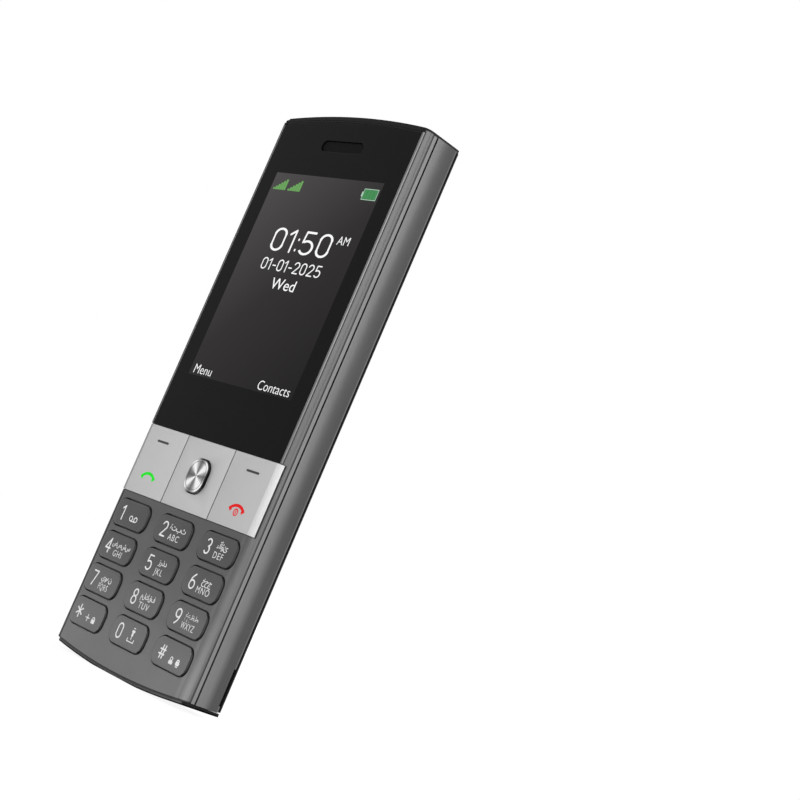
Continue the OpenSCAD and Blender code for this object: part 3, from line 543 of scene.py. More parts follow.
@dataclass(frozen=True)
class SatinPaint(Finish):
    """Satin silver paint with fine flakes; if edges are given, light and shade are painted on them.

    The edges are the place of the left edge, painted darker as shade, and of the right wrap,
    painted lighter as a highlight.
    """

    title: str
    colour: Colour
    roughness: float = 0.42
    metallic: float = 0.35
    flake: float = 0.07
    # Places of the left edge painted as shade and of the right wrap painted as a highlight.
    edges: Spot | None = None
    wrap_highlight_shares: Spot = (1.32, 0.9)
    wrap_width: float = 1.6
    shade_share: float = 0.5
    blend: float = 0.05
    wrap_specular: float = 0.1
    specular: float = 0.5
    flake_share: float = 0.06
    unevenness: float = 0.08
    depth: float = 0.004

    def paint(self, tree: NodeTree) -> None:
        """Fill the tree with flakes that vary colour and gloss, with a painted highlight on the right
        wrap and painted shade on the left edge.

        Args:
            tree: Tree of the material.
        """
        place = tree.place()
        flakes = tree.noise(place, self.flake, 2)
        tone = tree.tint(self.colour, flakes, self.flake_share)
        metallic = self.metallic
        # Painted highlight on the right wrap and painted shade on the left edge.
        if self.edges:
            shade, wrap = self.edges
            x = tree.axes(place)[0]
            inner = tree.spread(x, 1.0, 0.0, wrap - self.blend, wrap + self.blend)
            over = tree.spread(x, *(share - 1.0 for share in self.wrap_highlight_shares),
                               wrap, wrap + self.wrap_width)
            light = tree.math("MULTIPLY_ADD", tree.spread(inner, 1.0, 0.0), over, 1.0)
            dark = tree.spread(x, self.shade_share, 1.0, shade - self.blend, shade + self.blend)
            tone = tree.math("MULTIPLY", tone, tree.math("MULTIPLY", light, dark))
            metallic = tree.math("MULTIPLY", inner, self.metallic)
            tree.dress(Specular_IOR_Level=tree.spread(inner, self.wrap_specular, self.specular))
        tree.dress(Base_Color=tone, Metallic=metallic,
                   Roughness=tree.spread(flakes, self.roughness - self.unevenness,
                                         self.roughness + self.unevenness))
        tree.relief(flakes, self.depth)


@dataclass(frozen=True)
class ConicMetal(Finish):
    """Turned metal with painted reflections: light and dark rays in its colour that run out from the
    centre.

    A ray is its share of a turn and its grey level.
    """

    title: str
    centre: Point
    rays: tuple[tuple[float, float], ...]
    roughness: float = 0.28
    metallic: float = 0.85
    groove: float = 0.09
    specular: float = 0.5
    unevenness: float = 0.05
    depth: float = 0.004
    strength: float = 0.6

    def paint(self, tree: NodeTree) -> None:
        """Fill the tree with painted reflection rays round the centre and fine turned grooves.

        Args:
            tree: Tree of the material.
        """
        # Painted reflections: the rays are grey levels of the base colour by the angle round the centre.
        rays = tree.ramp(tree.turn_share(self.centre),
                         [(spot, grey(level)) for spot, level in self.rays])
        turns = tree.math("MULTIPLY", tree.radius(self.centre), math.tau / self.groove)
        wave = tree.spread(tree.math("SINE", turns), 0.0, 1.0, -1.0, 1.0)
        tree.dress(Base_Color=rays, Metallic=self.metallic, Specular_IOR_Level=self.specular,
                   Roughness=tree.spread(wave, self.roughness - self.unevenness,
                                         self.roughness + self.unevenness))
        tree.relief(wave, self.depth, self.strength)


@dataclass(frozen=True)
class DarkGlass(Finish):
    """Coated black glass with faint wiped marks."""

    title: str
    colour: Colour
    roughness: float = 0.06
    ior: float = 1.22
    wipe_size: float = 7.0
    wipe_share: float = 0.12
    wipe_gloss: Spot = (0.5, 1.5)

    def paint(self, tree: NodeTree) -> None:
        """Fill the tree with a deep colour and uneven gloss.

        Args:
            tree: Tree of the material.
        """
        marks = tree.noise(tree.place(), self.wipe_size, 3)
        low, high = (self.roughness * share for share in self.wipe_gloss)
        tree.dress(Base_Color=tree.tint(self.colour, marks, self.wipe_share), IOR=self.ior,
                   Roughness=tree.spread(marks, low, high))


@dataclass(frozen=True)
class PictureGlow(Finish):
    """A lit picture: soft grey light from one upper corner, over black glass."""

    title: str
    centre: Point
    half: Spot
    light: Colour
    middle: Colour
    dark: Colour
    ior: float = 1.16
    roughness: float = 0.06
    ground: Colour = grey(6)

    def paint(self, tree: NodeTree) -> None:
        """Fill the tree with a glow that falls off from the upper left to the lower right.

        Args:
            tree: Tree of the material.
        """
        x, _, z = tree.axes(tree.place(self.centre))
        aslant = tree.math("SUBTRACT", tree.math("DIVIDE", z, self.half[1]),
                           tree.math("DIVIDE", x, self.half[0]))
        glow = tree.spread(aslant, 0.0, 1.0, -2.0, 2.0)
        colours = tree.ramp(glow, ((0.0, self.dark), (0.5, self.middle), (1.0, self.light)))
        tree.dress(Base_Color=self.ground, IOR=self.ior, Roughness=self.roughness,
                   Emission_Strength=1.0, Emission_Color=colours)


@dataclass(frozen=True)
class ScreenInk(Finish):
    """A lit sign on the picture, with the faint rows of its dots."""

    title: str
    colour: Colour
    dot: float = 0.153
    dot_share: float = 0.04
    strength: float = 1.0
    roughness: float = 0.3
    ground: Colour = grey(10)

    def paint(self, tree: NodeTree) -> None:
        """Fill the tree with lit colour and faint rows.

        Args:
            tree: Tree of the material.
        """
        _, _, z = tree.axes(tree.place())
        rows = tree.math("SINE", tree.math("MULTIPLY", z, math.tau / self.dot))
        colour = tree.tint(self.colour, tree.spread(rows, 0, 1, -1, 1), self.dot_share)
        tree.dress(Base_Color=self.ground, Roughness=self.roughness,
                   Emission_Strength=self.strength, Emission_Color=colour)


@dataclass(frozen=True)
class PrintInk(Finish):
    """Printed sign with slightly uneven ink."""

    title: str
    colour: Colour
    roughness: float = 0.55
    unevenness: float = 0.1
    specular: float = 0.3
    patch_size: float = 0.25
    patch_share: float = 0.05

    def paint(self, tree: NodeTree) -> None:
        """Fill the tree with uneven ink.

        Args:
            tree: Tree of the material.
        """
        cover = tree.noise(tree.place(), self.patch_size, 3)
        tree.dress(Base_Color=tree.tint(self.colour, cover, self.patch_share),
                   Specular_IOR_Level=self.specular,
                   Roughness=tree.spread(cover, self.roughness - self.unevenness,
                                         self.roughness + self.unevenness))


@dataclass(frozen=True)
class RolledMetal(Finish):
    """Rolled sheet metal with fine lengthwise lines."""

    title: str
    colour: Colour
    roughness: float = 0.32
    line: float = 0.05
    line_stretch: float = 0.04
    line_share: float = 0.1
    unevenness: float = 0.08
    depth: float = 0.003

    def paint(self, tree: NodeTree) -> None:
        """Fill the tree with lines drawn out along the length.

        Args:
            tree: Tree of the material.
        """
        drawn = tree.add("Mapping", {"Vector": tree.place(),
                                     "Scale": (1, 1, self.line_stretch)}).outputs[0]
        lines = tree.noise(drawn, self.line, 2)
        tree.dress(Base_Color=tree.tint(self.colour, lines, self.line_share), Metallic=1.0,
                   Roughness=tree.spread(lines, self.roughness - self.unevenness,
                                         self.roughness + self.unevenness))
        tree.relief(lines, self.depth)


@dataclass(frozen=True)
class Perforated(Finish):
    """Dark metal mesh with rows of round holes."""

    title: str
    colour: Colour
    pitch: float = 0.45
    hole: Colour = grey(4)
    hole_edge: Spot = (0.55, 0.72)
    metallic: float = 0.6
    roughness: float = 0.45
    depth: float = 0.02

    def paint(self, tree: NodeTree) -> None:
        """Fill the tree with round dark holes in a square grid.

        Args:
            tree: Tree of the material.
        """
        x, _, z = tree.axes(tree.place())
        spots = [tree.math("SINE", tree.math("MULTIPLY", part, math.tau / self.pitch))
                 for part in (x, z)]
        holes = tree.math("MULTIPLY", *spots)
        colour = tree.ramp(tree.spread(holes, 0, 1, -1, 1),
                           tuple(zip(self.hole_edge, (self.colour, self.hole))))
        tree.dress(Base_Color=colour, Metallic=self.metallic, Roughness=self.roughness)
        tree.relief(tree.math("MULTIPLY", holes, -1.0), self.depth)


@dataclass(frozen=True)
class BoardLacquer(Finish):
    """Lacquered circuit board with faint tracks."""

    title: str
    colour: Colour
    track: float = 1.3
    track_share: float = 0.4
    roughness: float = 0.3
    depth: float = 0.02
    strength: float = 0.5

    def paint(self, tree: NodeTree) -> None:
        """Fill the tree with blocky tracks under lacquer.

        Args:
            tree: Tree of the material.
        """
        x, _, z = tree.axes(tree.place())
        flat = tree.add("CombineXYZ", {"X": x, "Y": z}).outputs[0]
        cells = tree.add("TexVoronoi", {"Vector": flat, "Scale": 1 / self.track},
                         distance="CHEBYCHEV", feature="F1").outputs["Distance"]
        tree.dress(Base_Color=tree.tint(self.colour, cells, self.track_share),
                   Roughness=self.roughness)
        tree.relief(cells, self.depth, self.strength)


@dataclass(frozen=True)
class BatteryWrap(Finish):
    """Printed battery wrap: dark film with a plain pale band."""

    title: str
    film: Colour
    band: Colour
    band_low: float
    band_high: float
    margin: float = 10.0
    blend: float = 0.002
    crease: float = 5.0
    gloss: Spot = (0.3, 0.5)
    depth: float = 0.05
    strength: float = 0.3

    def paint(self, tree: NodeTree) -> None:
        """Fill the tree with the film, its band and faint creases.

        Args:
            tree: Tree of the material.
        """
        place = tree.place()
        _, _, z = tree.axes(place)
        share = tree.spread(z, 0.0, 1.0, self.band_low - self.margin, self.band_high + self.margin)
        start = self.margin / (self.band_high - self.band_low + 2 * self.margin)
        colour = tree.ramp(share, ((start - self.blend, self.film), (start + self.blend, self.band),
                                   (1 - start - self.blend, self.band),
                                   (1 - start + self.blend, self.film)))
        creases = tree.noise(place, self.crease, 4)
        tree.dress(Base_Color=colour, Roughness=tree.spread(creases, *self.gloss))
        tree.relief(creases, self.depth, self.strength)


@dataclass(frozen=True)
class ClearPlastic(Finish):
    """Clear or cloudy lens plastic."""

    title: str
    colour: Colour
    roughness: float = 0.12
    ior: float = 1.49
    cloud_size: float = 0.6
    cloud_share: float = 0.06
    cloud_gloss: Spot = (0.6, 1.4)
    depth: float = 0.01
    strength: float = 0.4

    def paint(self, tree: NodeTree) -> None:
        """Fill the tree with clouded plastic.

        Args:
            tree: Tree of the material.
        """
        clouds = tree.noise(tree.place(), self.cloud_size, 3)
        low, high = (self.roughness * share for share in self.cloud_gloss)
        tree.dress(Base_Color=tree.tint(self.colour, clouds, self.cloud_share), IOR=self.ior,
                   Roughness=tree.spread(clouds, low, high))
        tree.relief(clouds, self.depth, self.strength)


@dataclass(frozen=True)
class LensGlass(Finish):
    """Camera lens: near-black glass with coloured coating rings and two glints painted as a glow."""

    title: str
    centre: Point
    reach: float
    glints: tuple[Point, ...] = ((0.05, 0.0, 0.5), (-0.2, -0.05, 0.5), (-0.12, 0.4, 0.16))
    roughness: float = 0.15
    ior: float = 1.05

    def paint(self, tree: NodeTree) -> None:
        """Fill the tree with coating rings and a painted glow of a crescent between two round spots and
        a small glint.

        Args:
            tree: Tree of the material.
        """
        share = tree.math("DIVIDE", tree.radius(self.centre), self.reach)
        rings = tree.ramp(share, ((0.0, srgb(8, 8, 20)), (0.45, srgb(16, 16, 44)), (0.6, grey(4)),
                                  (0.76, srgb(14, 18, 34)), (0.88, grey(6)), (1.0, grey(4))))
        spots = []
        for across, along, size in self.glints:
            middle = (self.centre[0] + across * self.reach, self.centre[1],
                      self.centre[2] + along * self.reach)
            spots.append(tree.math("DIVIDE", tree.radius(middle), size * self.reach))
        arc = tree.math("MAXIMUM", spots[0], tree.math("SUBTRACT", 2.0, spots[1]))
        glow = tree.math("MINIMUM", arc, spots[2])
        # Painted glints, given as a glow.
        light = tree.ramp(glow, ((0.0, srgb(225, 230, 255)), (0.45, srgb(120, 125, 250)),
                                 (0.8, srgb(28, 24, 140)), (1.0, grey(0))))
        tree.dress(Base_Color=rings, Roughness=self.roughness, IOR=self.ior, Emission_Strength=1.0,
                   Emission_Color=light)


class Form:
    """A bmesh in drawing millimetres, shaped by operators and turned into a piece at the end."""

    def __init__(self) -> None:
        """Start with nothing."""
        self.bm = bmesh.new()

    @classmethod
    def block(cls, low: Point, high: Point) -> "Form":
        """Make a block from its lowest and highest corners.

        Args:
            low: Lowest corner.
            high: Highest corner.

        Returns:
            The block.
        """
        form = cls()
        bmesh.ops.create_cube(form.bm, size=1.0)
        size = Vector(high) - Vector(low)
        bmesh.ops.scale(form.bm, vec=size, verts=form.bm.verts)
        bmesh.ops.translate(form.bm, vec=(Vector(high) + Vector(low)) / 2, verts=form.bm.verts)
        return form

    @classmethod
    def plate(cls, width: float, height: float, corner: float, depths: Spot, at: Spot = (0, 0),
              segments: int = 10) -> "Form":
        """Make a plate with round corners that faces the front.

        Args:
            width: Size across.
            height: Size along the length.
            corner: Corner radius.
            depths: Depth of the front and of the back.
            at: Middle, across and along the length.
            segments: Steps of a corner.

        Returns:
            The plate.
        """
        form = cls.block((at[0] - width / 2, depths[0], at[1] - height / 2),
                         (at[0] + width / 2, depths[1], at[1] + height / 2))
        full = min(width, height) / 2 - FINE_WELD
        form.round_edges(form.edges_along(Axis.DEPTH), min(corner, full), segments)
        return form

    @classmethod
    def turned(cls, outline: Sequence[Spot], centre: Spot, steps: int = 144) -> "Form":
        """Turn a closed outline about a depth axis.

        Args:
            outline: Radius and depth of its corners, in order round the outline.
            centre: Place of the axis, across and along the length.
            steps: Steps of the full turn.

        Returns:
            The turned form.
        """
        form = cls()
        corners = [form.bm.verts.new((centre[0] + radius, depth, centre[1]))
                   for radius, depth in outline]
        edges = [form.bm.edges.new((corner, corners[(place + 1) % len(corners)]))
                 for place, corner in enumerate(corners)]
        bmesh.ops.spin(form.bm, geom=corners + edges, cent=(centre[0], 0, centre[1]),
                       axis=Axis.DEPTH.value, angle=math.tau, steps=steps, use_merge=True,
                       use_duplicate=False)
        bmesh.ops.remove_doubles(form.bm, verts=form.bm.verts, dist=WELD)
        form.drop_flat()
        return form

    @classmethod
    def arc(cls, centre: Spot, radius: float, width: float, sweep: Spot, depths: Spot,
            steps: int = 24) -> "Form":
        """Make a flat band along an arc that faces the front.

        Args:
            centre: Centre of the arc, across and along the length.
            radius: Radius of the middle of the band.
            width: Width of the band.
            sweep: Angles in degrees of its start and end, from +x towards +z.
            depths: Depth of the front and of the back.
            steps: Steps of the arc.

        Returns:
            The band.
        """
        form = cls()
        start = math.radians(sweep[0])
        turn = math.radians(sweep[1] - sweep[0])
        ends = [form.bm.verts.new((centre[0] + reach * math.cos(start), depths[0],
                                   centre[1] + reach * math.sin(start)))
                for reach in (radius - width / 2, radius + width / 2)]
        edge = form.bm.edges.new(ends)
        bmesh.ops.spin(form.bm, geom=ends + [edge], cent=(centre[0], 0, centre[1]),
                       axis=-Axis.DEPTH.value, angle=turn, steps=steps,
                       use_merge=math.isclose(abs(turn), math.tau), use_duplicate=False)
        made = bmesh.ops.extrude_face_region(form.bm, geom=list(form.bm.faces), use_keep_orig=True)
        bmesh.ops.translate(form.bm, vec=Axis.DEPTH.value * (depths[1] - depths[0]),
                            verts=[v for v in made["geom"] if isinstance(v, bmesh.types.BMVert)])
        return form

    @classmethod
    def bar(cls, start: Spot, end: Spot, width: float, depths: Spot) -> "Form":
        """Make a flat bar with round ends between two spots, facing the front.

        Args:
            start: Middle of its first end, across and along the length.
            end: Middle of its other end.
            width: Width of the bar.
            depths: Depth of the front and of the back.

        Returns:
            The bar.
        """
        run = Vector((end[0] - start[0], 0, end[1] - start[1]))
        form = cls.plate(run.length + width, width, width / 2, depths, segments=4)
        turn = Matrix.Rotation(-math.atan2(run.z, run.x), 3, "Y")
        bmesh.ops.rotate(form.bm, cent=(0, 0, 0), matrix=turn, verts=form.bm.verts)
        middle = Vector(((start[0] + end[0]) / 2, 0, (start[1] + end[1]) / 2))
        bmesh.ops.translate(form.bm, vec=middle, verts=form.bm.verts)
        return form

    @classmethod
    def lettering(cls, text: str, height: float, at: Spot, align: Align = Align.MIDDLE,
                  weight: float = 0.0, narrow: float = 1.0, spacing: float = 1.0) -> "Form":
        """Make raised lettering on the front face, half of its thickness above it.

        Args:
            text: Signs to write.
            height: Height of a capital.
            at: Middle or one end of the line, across and along the length.
            align: Which of them the spot is.
            weight: Growth of the strokes, below zero for thin ones.
            narrow: Width of the signs against their plain width.
            spacing: Distance of the signs against their plain distance.

        Returns:
            The lettering.
        """
        capital = 0.69
        curve = bpy.data.curves.new("lettering", "FONT")
        curve.body, curve.align_x, curve.align_y = text, align.value, "BOTTOM_BASELINE"
        curve.offset, curve.extrude, curve.resolution_u = weight, PRINT / 2 * capital / height, 4
        curve.space_character = spacing
        sign = bpy.data.objects.new("lettering", curve)
        bpy.context.collection.objects.link(sign)
        bpy.context.view_layer.update()
        mesh = bpy.data.meshes.new_from_object(
            sign.evaluated_get(bpy.context.evaluated_depsgraph_get()))
        form = cls()
        form.bm.from_mesh(mesh)
        bpy.data.objects.remove(sign)
        bpy.data.curves.remove(curve)
        bpy.data.meshes.remove(mesh)
        grow = height / capital
        bmesh.ops.scale(form.bm, vec=(grow * narrow, grow, grow), verts=form.bm.verts)
        bmesh.ops.rotate(form.bm, cent=(0, 0, 0), matrix=Matrix.Rotation(math.pi / 2, 3, "X"),
                         verts=form.bm.verts)
        bmesh.ops.translate(form.bm, vec=(at[0], 0, at[1] - height / 2), verts=form.bm.verts)
        bmesh.ops.remove_doubles(form.bm, verts=form.bm.verts, dist=WELD)
        return form

    def move(self, across: float = 0.0, depth: float = 0.0, length: float = 0.0) -> "Form":
        """Move the form and give it back."""
        bmesh.ops.translate(self.bm, vec=(across, depth, length), verts=self.bm.verts)
        return self

    def add(self, *others: "Form") -> "Form":
        """Take in other forms as they are, and give this one back.

        Args:
            others: Forms to take in.

        Returns:
            This form.
        """
        for other in others:
            spare = bpy.data.meshes.new("spare")
            other.bm.to_mesh(spare)
            self.bm.from_mesh(spare)
            bpy.data.meshes.remove(spare)
        return self

    def edges_along(self, axis: Axis, keep: Callable[[Vector], bool] = lambda middle: True
                    ) -> list[bmesh.types.BMEdge]:
        """Find edges that run along an axis.

        Args:
            axis: Axis that they follow.
            keep: Test on the middle of an edge.

        Returns:
            The edges.
        """
        found = []
        for edge in self.bm.edges:
            run = edge.verts[1].co - edge.verts[0].co
            middle = (edge.verts[1].co + edge.verts[0].co) / 2
            if abs(run.normalized().dot(axis.value)) > ALIGNED and keep(middle):
                found.append(edge)
        return found

    def round_edges(self, edges: Iterable[bmesh.types.BMEdge], radius: float, segments: int) -> "Form":
        """Round some edges and give the form back.

        Args:
            edges: Edges to round.
            radius: Radius of the rounding.
            segments: Steps of the rounding.

        Returns:
            This form.
        """
        bmesh.ops.bevel(self.bm, geom=list(edges), offset=radius, segments=segments, profile=0.5,
                        affect="EDGES", material=-1, clamp_overlap=True)
        bmesh.ops.remove_doubles(self.bm, verts=self.bm.verts, dist=WELD)
        return self

    def soften(self, radius: float, segments: int = 2, sharp: float = 50) -> "Form":
        """Round every edge that is sharper than an angle.

        Args:
            radius: Radius of the rounding.
            segments: Steps of the rounding.
            sharp: The angle in degrees.

        Returns:
            This form.
        """
        self.bm.normal_update()
        edges = [edge for edge in self.bm.edges if len(edge.link_faces) == 2
                 and edge.calc_face_angle(0) > math.radians(sharp)]
        return self.round_edges(edges, radius, segments)

    def slice(self, spots: Iterable[float], axis: Axis) -> "Form":
        """Cut the faces at places along an axis and give the form back.

        Args:
            spots: Places along the axis.
            axis: Axis across the cuts.

        Returns:
            This form.
        """
        for spot in spots:
            bmesh.ops.bisect_plane(self.bm, geom=[*self.bm.verts, *self.bm.edges, *self.bm.faces],
                                   plane_co=axis.value * spot, plane_no=axis.value, dist=FINE_WELD)
        return self

    def bend(self, shift: Callable[[Vector], Vector]) -> "Form":
        """Move each corner by a rule and give the form back.

        Args:
            shift: Gives the shift of a corner from its place.

        Returns:
            This form.
        """
        for vert in self.bm.verts:
            vert.co += shift(vert.co)
        return self

    def drop_flat(self) -> None:
        """Remove faces and edges that have no size."""
        bmesh.ops.dissolve_degenerate(self.bm, dist=FINE_WELD, edges=self.bm.edges)

    def cut(self, tool: "Form", way: Cut = Cut.AWAY) -> "Form":
        """Change the form by another one and give it back.

        Args:
            tool: The other form.
            way: How it changes this one.

        Returns:
            This form.
        """
        objects = []
        for form in (self, tool):
            bmesh.ops.recalc_face_normals(form.bm, faces=form.bm.faces)
            mesh = bpy.data.meshes.new("work")
            form.bm.to_mesh(mesh)
            objects.append(bpy.data.objects.new("work", mesh))
            bpy.context.collection.objects.link(objects[-1])
        knife = objects[0].modifiers.new("knife", "BOOLEAN")
        knife.object, knife.operation, knife.solver = objects[1], way.value, "EXACT"
        bpy.context.view_layer.update()
        result = bpy.data.meshes.new_from_object(
            objects[0].evaluated_get(bpy.context.evaluated_depsgraph_get()))
        self.bm.free()
        self.bm = bmesh.new()
        self.bm.from_mesh(result)
        for work in objects:
            mesh = work.data
            bpy.data.objects.remove(work)
            bpy.data.meshes.remove(mesh)
        bpy.data.meshes.remove(result)
        bmesh.ops.remove_doubles(self.bm, verts=self.bm.verts, dist=WELD)
        return self

    def paint(self, test: Callable[[bmesh.types.BMFace], bool], index: int) -> "Form":
        """Give faces that pass a test another of the piece's finishes.

        Args:
            test: Test on a face.
            index: Place in the piece's finishes.

        Returns:
            This form.
        """
        self.bm.normal_update()
        for face in self.bm.faces:
            if test(face):
                face.material_index = index
        return self

    def piece(self, name: str, body: str, finishes: Sequence[Finish], slot: str,
              replaces: Sequence[str] = (), crisp: float = math.inf) -> bpy.types.Object:
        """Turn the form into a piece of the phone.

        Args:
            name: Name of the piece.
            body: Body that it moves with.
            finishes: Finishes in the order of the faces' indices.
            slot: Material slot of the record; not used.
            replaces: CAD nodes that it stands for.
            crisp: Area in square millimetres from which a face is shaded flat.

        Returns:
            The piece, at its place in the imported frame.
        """
        bmesh.ops.remove_doubles(self.bm, verts=self.bm.verts, dist=FINE_WELD)
        bmesh.ops.recalc_face_normals(self.bm, faces=self.bm.faces)
        self.move(depth=FACE_Y)
        bmesh.ops.scale(self.bm, vec=(MM,) * 3, verts=self.bm.verts)
        mesh = bpy.data.meshes.new(name)
        self.bm.to_mesh(mesh)
        self.bm.free()
        mesh.set_sharp_from_angle(angle=SMOOTH_ANGLE)
        mesh.polygons.foreach_set("use_smooth", [face.area < crisp * MM * MM for face in mesh.polygons])
        for finish in finishes:
            mesh.materials.append(finish.material())
        made = bpy.data.objects.new(name, mesh)
        bpy.context.collection.objects.link(made)
        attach(made, body)
        if replaces:
            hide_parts(*replaces)
        LOG.info("%s: %d faces on %s", name, len(mesh.polygons), body)
        return made


class StrokeSigns:
    """Digits and signs drawn with strokes of one width, in a frame of height 1.

    A bar is its two ends. An arc is its centre, its radius and its two angles.
    """

    BARS: dict[str, tuple[tuple[float, float, float, float], ...]] = {
        "0": ((-0.27, 0.27, -0.27, 0.73), (0.27, 0.27, 0.27, 0.73)),
        "1": ((0.06, 0.0, 0.06, 1.0), (0.06, 1.0, -0.18, 0.8)),
        "2": ((0.234, 0.595, -0.27, 0.0), (-0.27, 0.0, 0.28, 0.0)),
        "4": ((0.13, 0.0, 0.13, 1.0), (0.13, 1.0, -0.29, 0.3), (-0.29, 0.3, 0.3, 0.3)),
        "5": ((0.24, 1.0, -0.2, 1.0), (-0.2, 1.0, -0.235, 0.53)),
        "7": ((-0.27, 1.0, 0.27, 1.0), (0.27, 1.0, -0.08, 0.0)),
        "#": ((-0.14, 0.08, -0.04, 0.92), (0.12, 0.08, 0.22, 0.92), (-0.27, 0.66, 0.32, 0.66),
              (-0.32, 0.34, 0.27, 0.34)),
        "*": ((0.0, 0.15, 0.0, 0.85), (-0.27, 0.33, 0.27, 0.67), (-0.27, 0.67, 0.27, 0.33)),
        ":": ((0.0, 0.11, 0.0, 0.13), (0.0, 0.6, 0.0, 0.62)),
        "-": ((-0.16, 0.42, 0.16, 0.42),)}
    ARCS: dict[str, tuple[tuple[float, float, float, float, float], ...]] = {
        "0": ((0.0, 0.73, 0.27, 0, 180), (0.0, 0.27, 0.27, 180, 360)),
        "2": ((0.0, 0.73, 0.27, -30, 175),),
        "3": ((0.0, 0.755, 0.245, -90, 160), (0.0, 0.255, 0.255, -160, 90)),
        "5": ((0.0, 0.3, 0.3, -150, 130),),
        "6": ((0.0, 0.28, 0.28, 0, 360), (0.53, 0.3, 0.8, 118, 180)),
        "8": ((0.0, 0.765, 0.235, 0, 360), (0.0, 0.265, 0.265, 0, 360)),
        "9": ((0.0, 0.72, 0.28, 0, 360), (-0.53, 0.7, 0.8, -62, 0))}
    SLIM: dict[str, float] = {":": 0.1, "-": 0.5, "1": 0.48}
    ADVANCE = 0.76

    @classmethod
    def write(cls, text: str, height: float, at: Spot, stroke: float, wide: float = 1.0) -> Form:
        """Write raised signs on the front face, half of their thickness above it.

        Args:
            text: Signs to write.
            height: Height of a digit.
            at: Middle of the line, across and along the length.
            stroke: Width of the strokes.
            wide: Width of the signs against their plain width.

        Returns:
            The signs.
        """
        steps = [cls.SLIM.get(sign, cls.ADVANCE) * height * wide for sign in text]
        tall = height - stroke
        left, low = at[0] - sum(steps) / 2, at[1] - tall / 2
        form = Form()
        for sign, step in zip(text, steps):
            glyph = Form()
            for x0, z0, x1, z1 in cls.BARS.get(sign, ()):
                glyph.add(Form.bar((x0 * tall * wide, z0 * tall), (x1 * tall * wide, z1 * tall),
                                   stroke, PRINT_DEPTHS))
            for x, z, radius, start, stop in cls.ARCS.get(sign, ()):
                arc = Form.arc((0, 0), radius * tall, stroke, (start, stop), PRINT_DEPTHS)
                bmesh.ops.scale(arc.bm, vec=(wide, 1, 1), verts=arc.bm.verts)
                glyph.add(arc.move(x * tall * wide, 0, z * tall))
            form.add(glyph.move(left + step / 2, 0, low))
            left += step
        return form


# Painted shade lines on both sides of the light strip, where its grooves fall into shade.
STRIP_SHADE_LINES = (Mark(y=(3.1, 3.36)), Mark(y=(1.6, 2.1), share=0.5), Mark(y=(1.2, 1.6), share=0.8))
# Painted highlights along the back edges, and painted light on the left side.
BACK_EDGE_HIGHLIGHTS = (Mark(x=(-26, -20), y=(9.0, 9.42), share=4.0), Mark(x=(20, 26), y=(8.9, 9.42), share=1.8),
              Mark(x=(-26, -24.2), y=(3.36, 9.0), share=1.4))
# Painted shade on the left front edge, a painted highlight beside the keys and a painted shade line
# beside the bezel.
FRONT_EDGE_LIGHT_AND_SHADE = (Mark(x=(-24.4, -22.5), y=(-1, 0.8), share=0.25),
               Mark(x=(21.7, 22.7), y=(-1, 0.4), z=(-5, 37), share=1.2),
               Mark(x=(23.5, 23.8), y=(-1, 0.8), z=(52, 126)))
# Dark lines at the upper and the lower end.
END_LINES = (Mark(x=(-23.6, 23.6), y=(-1, 2.1), ring=(-72.3, 199.3, 201), share=0.15),
             Mark(y=(-1, 2.1), ring=(200.6, 199.75, 201), share=0.3))
# Housing grey, paler towards the lower end, with the painted side highlight and the marks above.
HOUSING = FadedPlastic("housing_grey", grey(47), roughness=0.3, specular=0.35, depth=0.004,
                       fade=((0, 115), (5, 112), (20, 88), (28, 82), (36, 75), (130, 75)), painted_side_highlight=78,
                       marks=STRIP_SHADE_LINES + BACK_EDGE_HIGHLIGHTS + FRONT_EDGE_LIGHT_AND_SHADE + END_LINES)
# Bezel grey, darker along the upper end, with painted shade on its left edge.
BEZEL = FadedPlastic("bezel_grey", grey(90), roughness=0.36, depth=0.004, specular=0.3,
                     fade=((0, 104), (130, 104)),
                     marks=(Mark(x=(-23.2, 23.2), ring=(-72.3, 198.8, 201), share=0.1),
                            Mark(x=(-24, -23.34), share=0.08)))
LOWER_CAP = FadedPlastic("lower_cap_dark", grey(12), roughness=0.6, specular=0.1, depth=0.004,
                         fade=((0, 100), (130, 100)), face=(0.5, 0.9),
                         marks=(Mark(ring=(199.84, 199.72, 201), share=0.15),))
KEY_TOP = FadedPlastic("key_grey", grey(88), roughness=0.36, grain=0.12, depth=0.004, specular=0.35,
                       fade=((0, 109), (9, 104), (17, 92), (24, 74), (32, 66), (40, 66)))
# Key sides painted near black as shade in the gaps round the keys.
KEY_SIDE_SHADE = MouldedPlastic("key_sides_painted_shade", grey(14), roughness=0.6)
# Light grey strip with a painted shade line along its front edge at the groove.
FRAME_GREY = FadedPlastic("frame_light_grey", grey(92), roughness=0.34, grain=0.1, depth=0.004,
                          fade=((0, 120), (130, 120)), marks=(Mark(y=(2.0, 2.24), share=0.25),))
BLACK_PLASTIC = MouldedPlastic("black_plastic", grey(18), roughness=0.6, specular=0.12)
# The outer lanes on both sides paint highlights along the rounded edges of the back; the first mark
# paints shade in the groove at its front edge.
COVER = LanedPlastic("cover_laned", grey(58), roughness=0.6, grain=0.12, depth=0.004, specular=0.03,
                     fade=((0, 97), (14, 93), (25, 87), (66, 61), (77, 58), (130, 54)),
                     face=(11.495, 11.4),
                     lanes=((-25, 2.6), (-23.6, 1.5), (-21.4, 2.0), (-20, 1.25), (-14.6, 0.8),
                            (-9.8, 1.3), (-5.4, 0.92), (8.3, 1.42), (12.6, 1.2), (17.3, 1.45),
                            (18.6, 1.75), (19.8, 2.2), (21, 2.8), (22.5, 1.0)),
                     marks=(Mark(y=(9.6, 10.12)), Mark(y=(9, 12.1), ring=(101.0, 14.5, 16.5))))
SILVER = SatinPaint("silver_plates", grey(187))
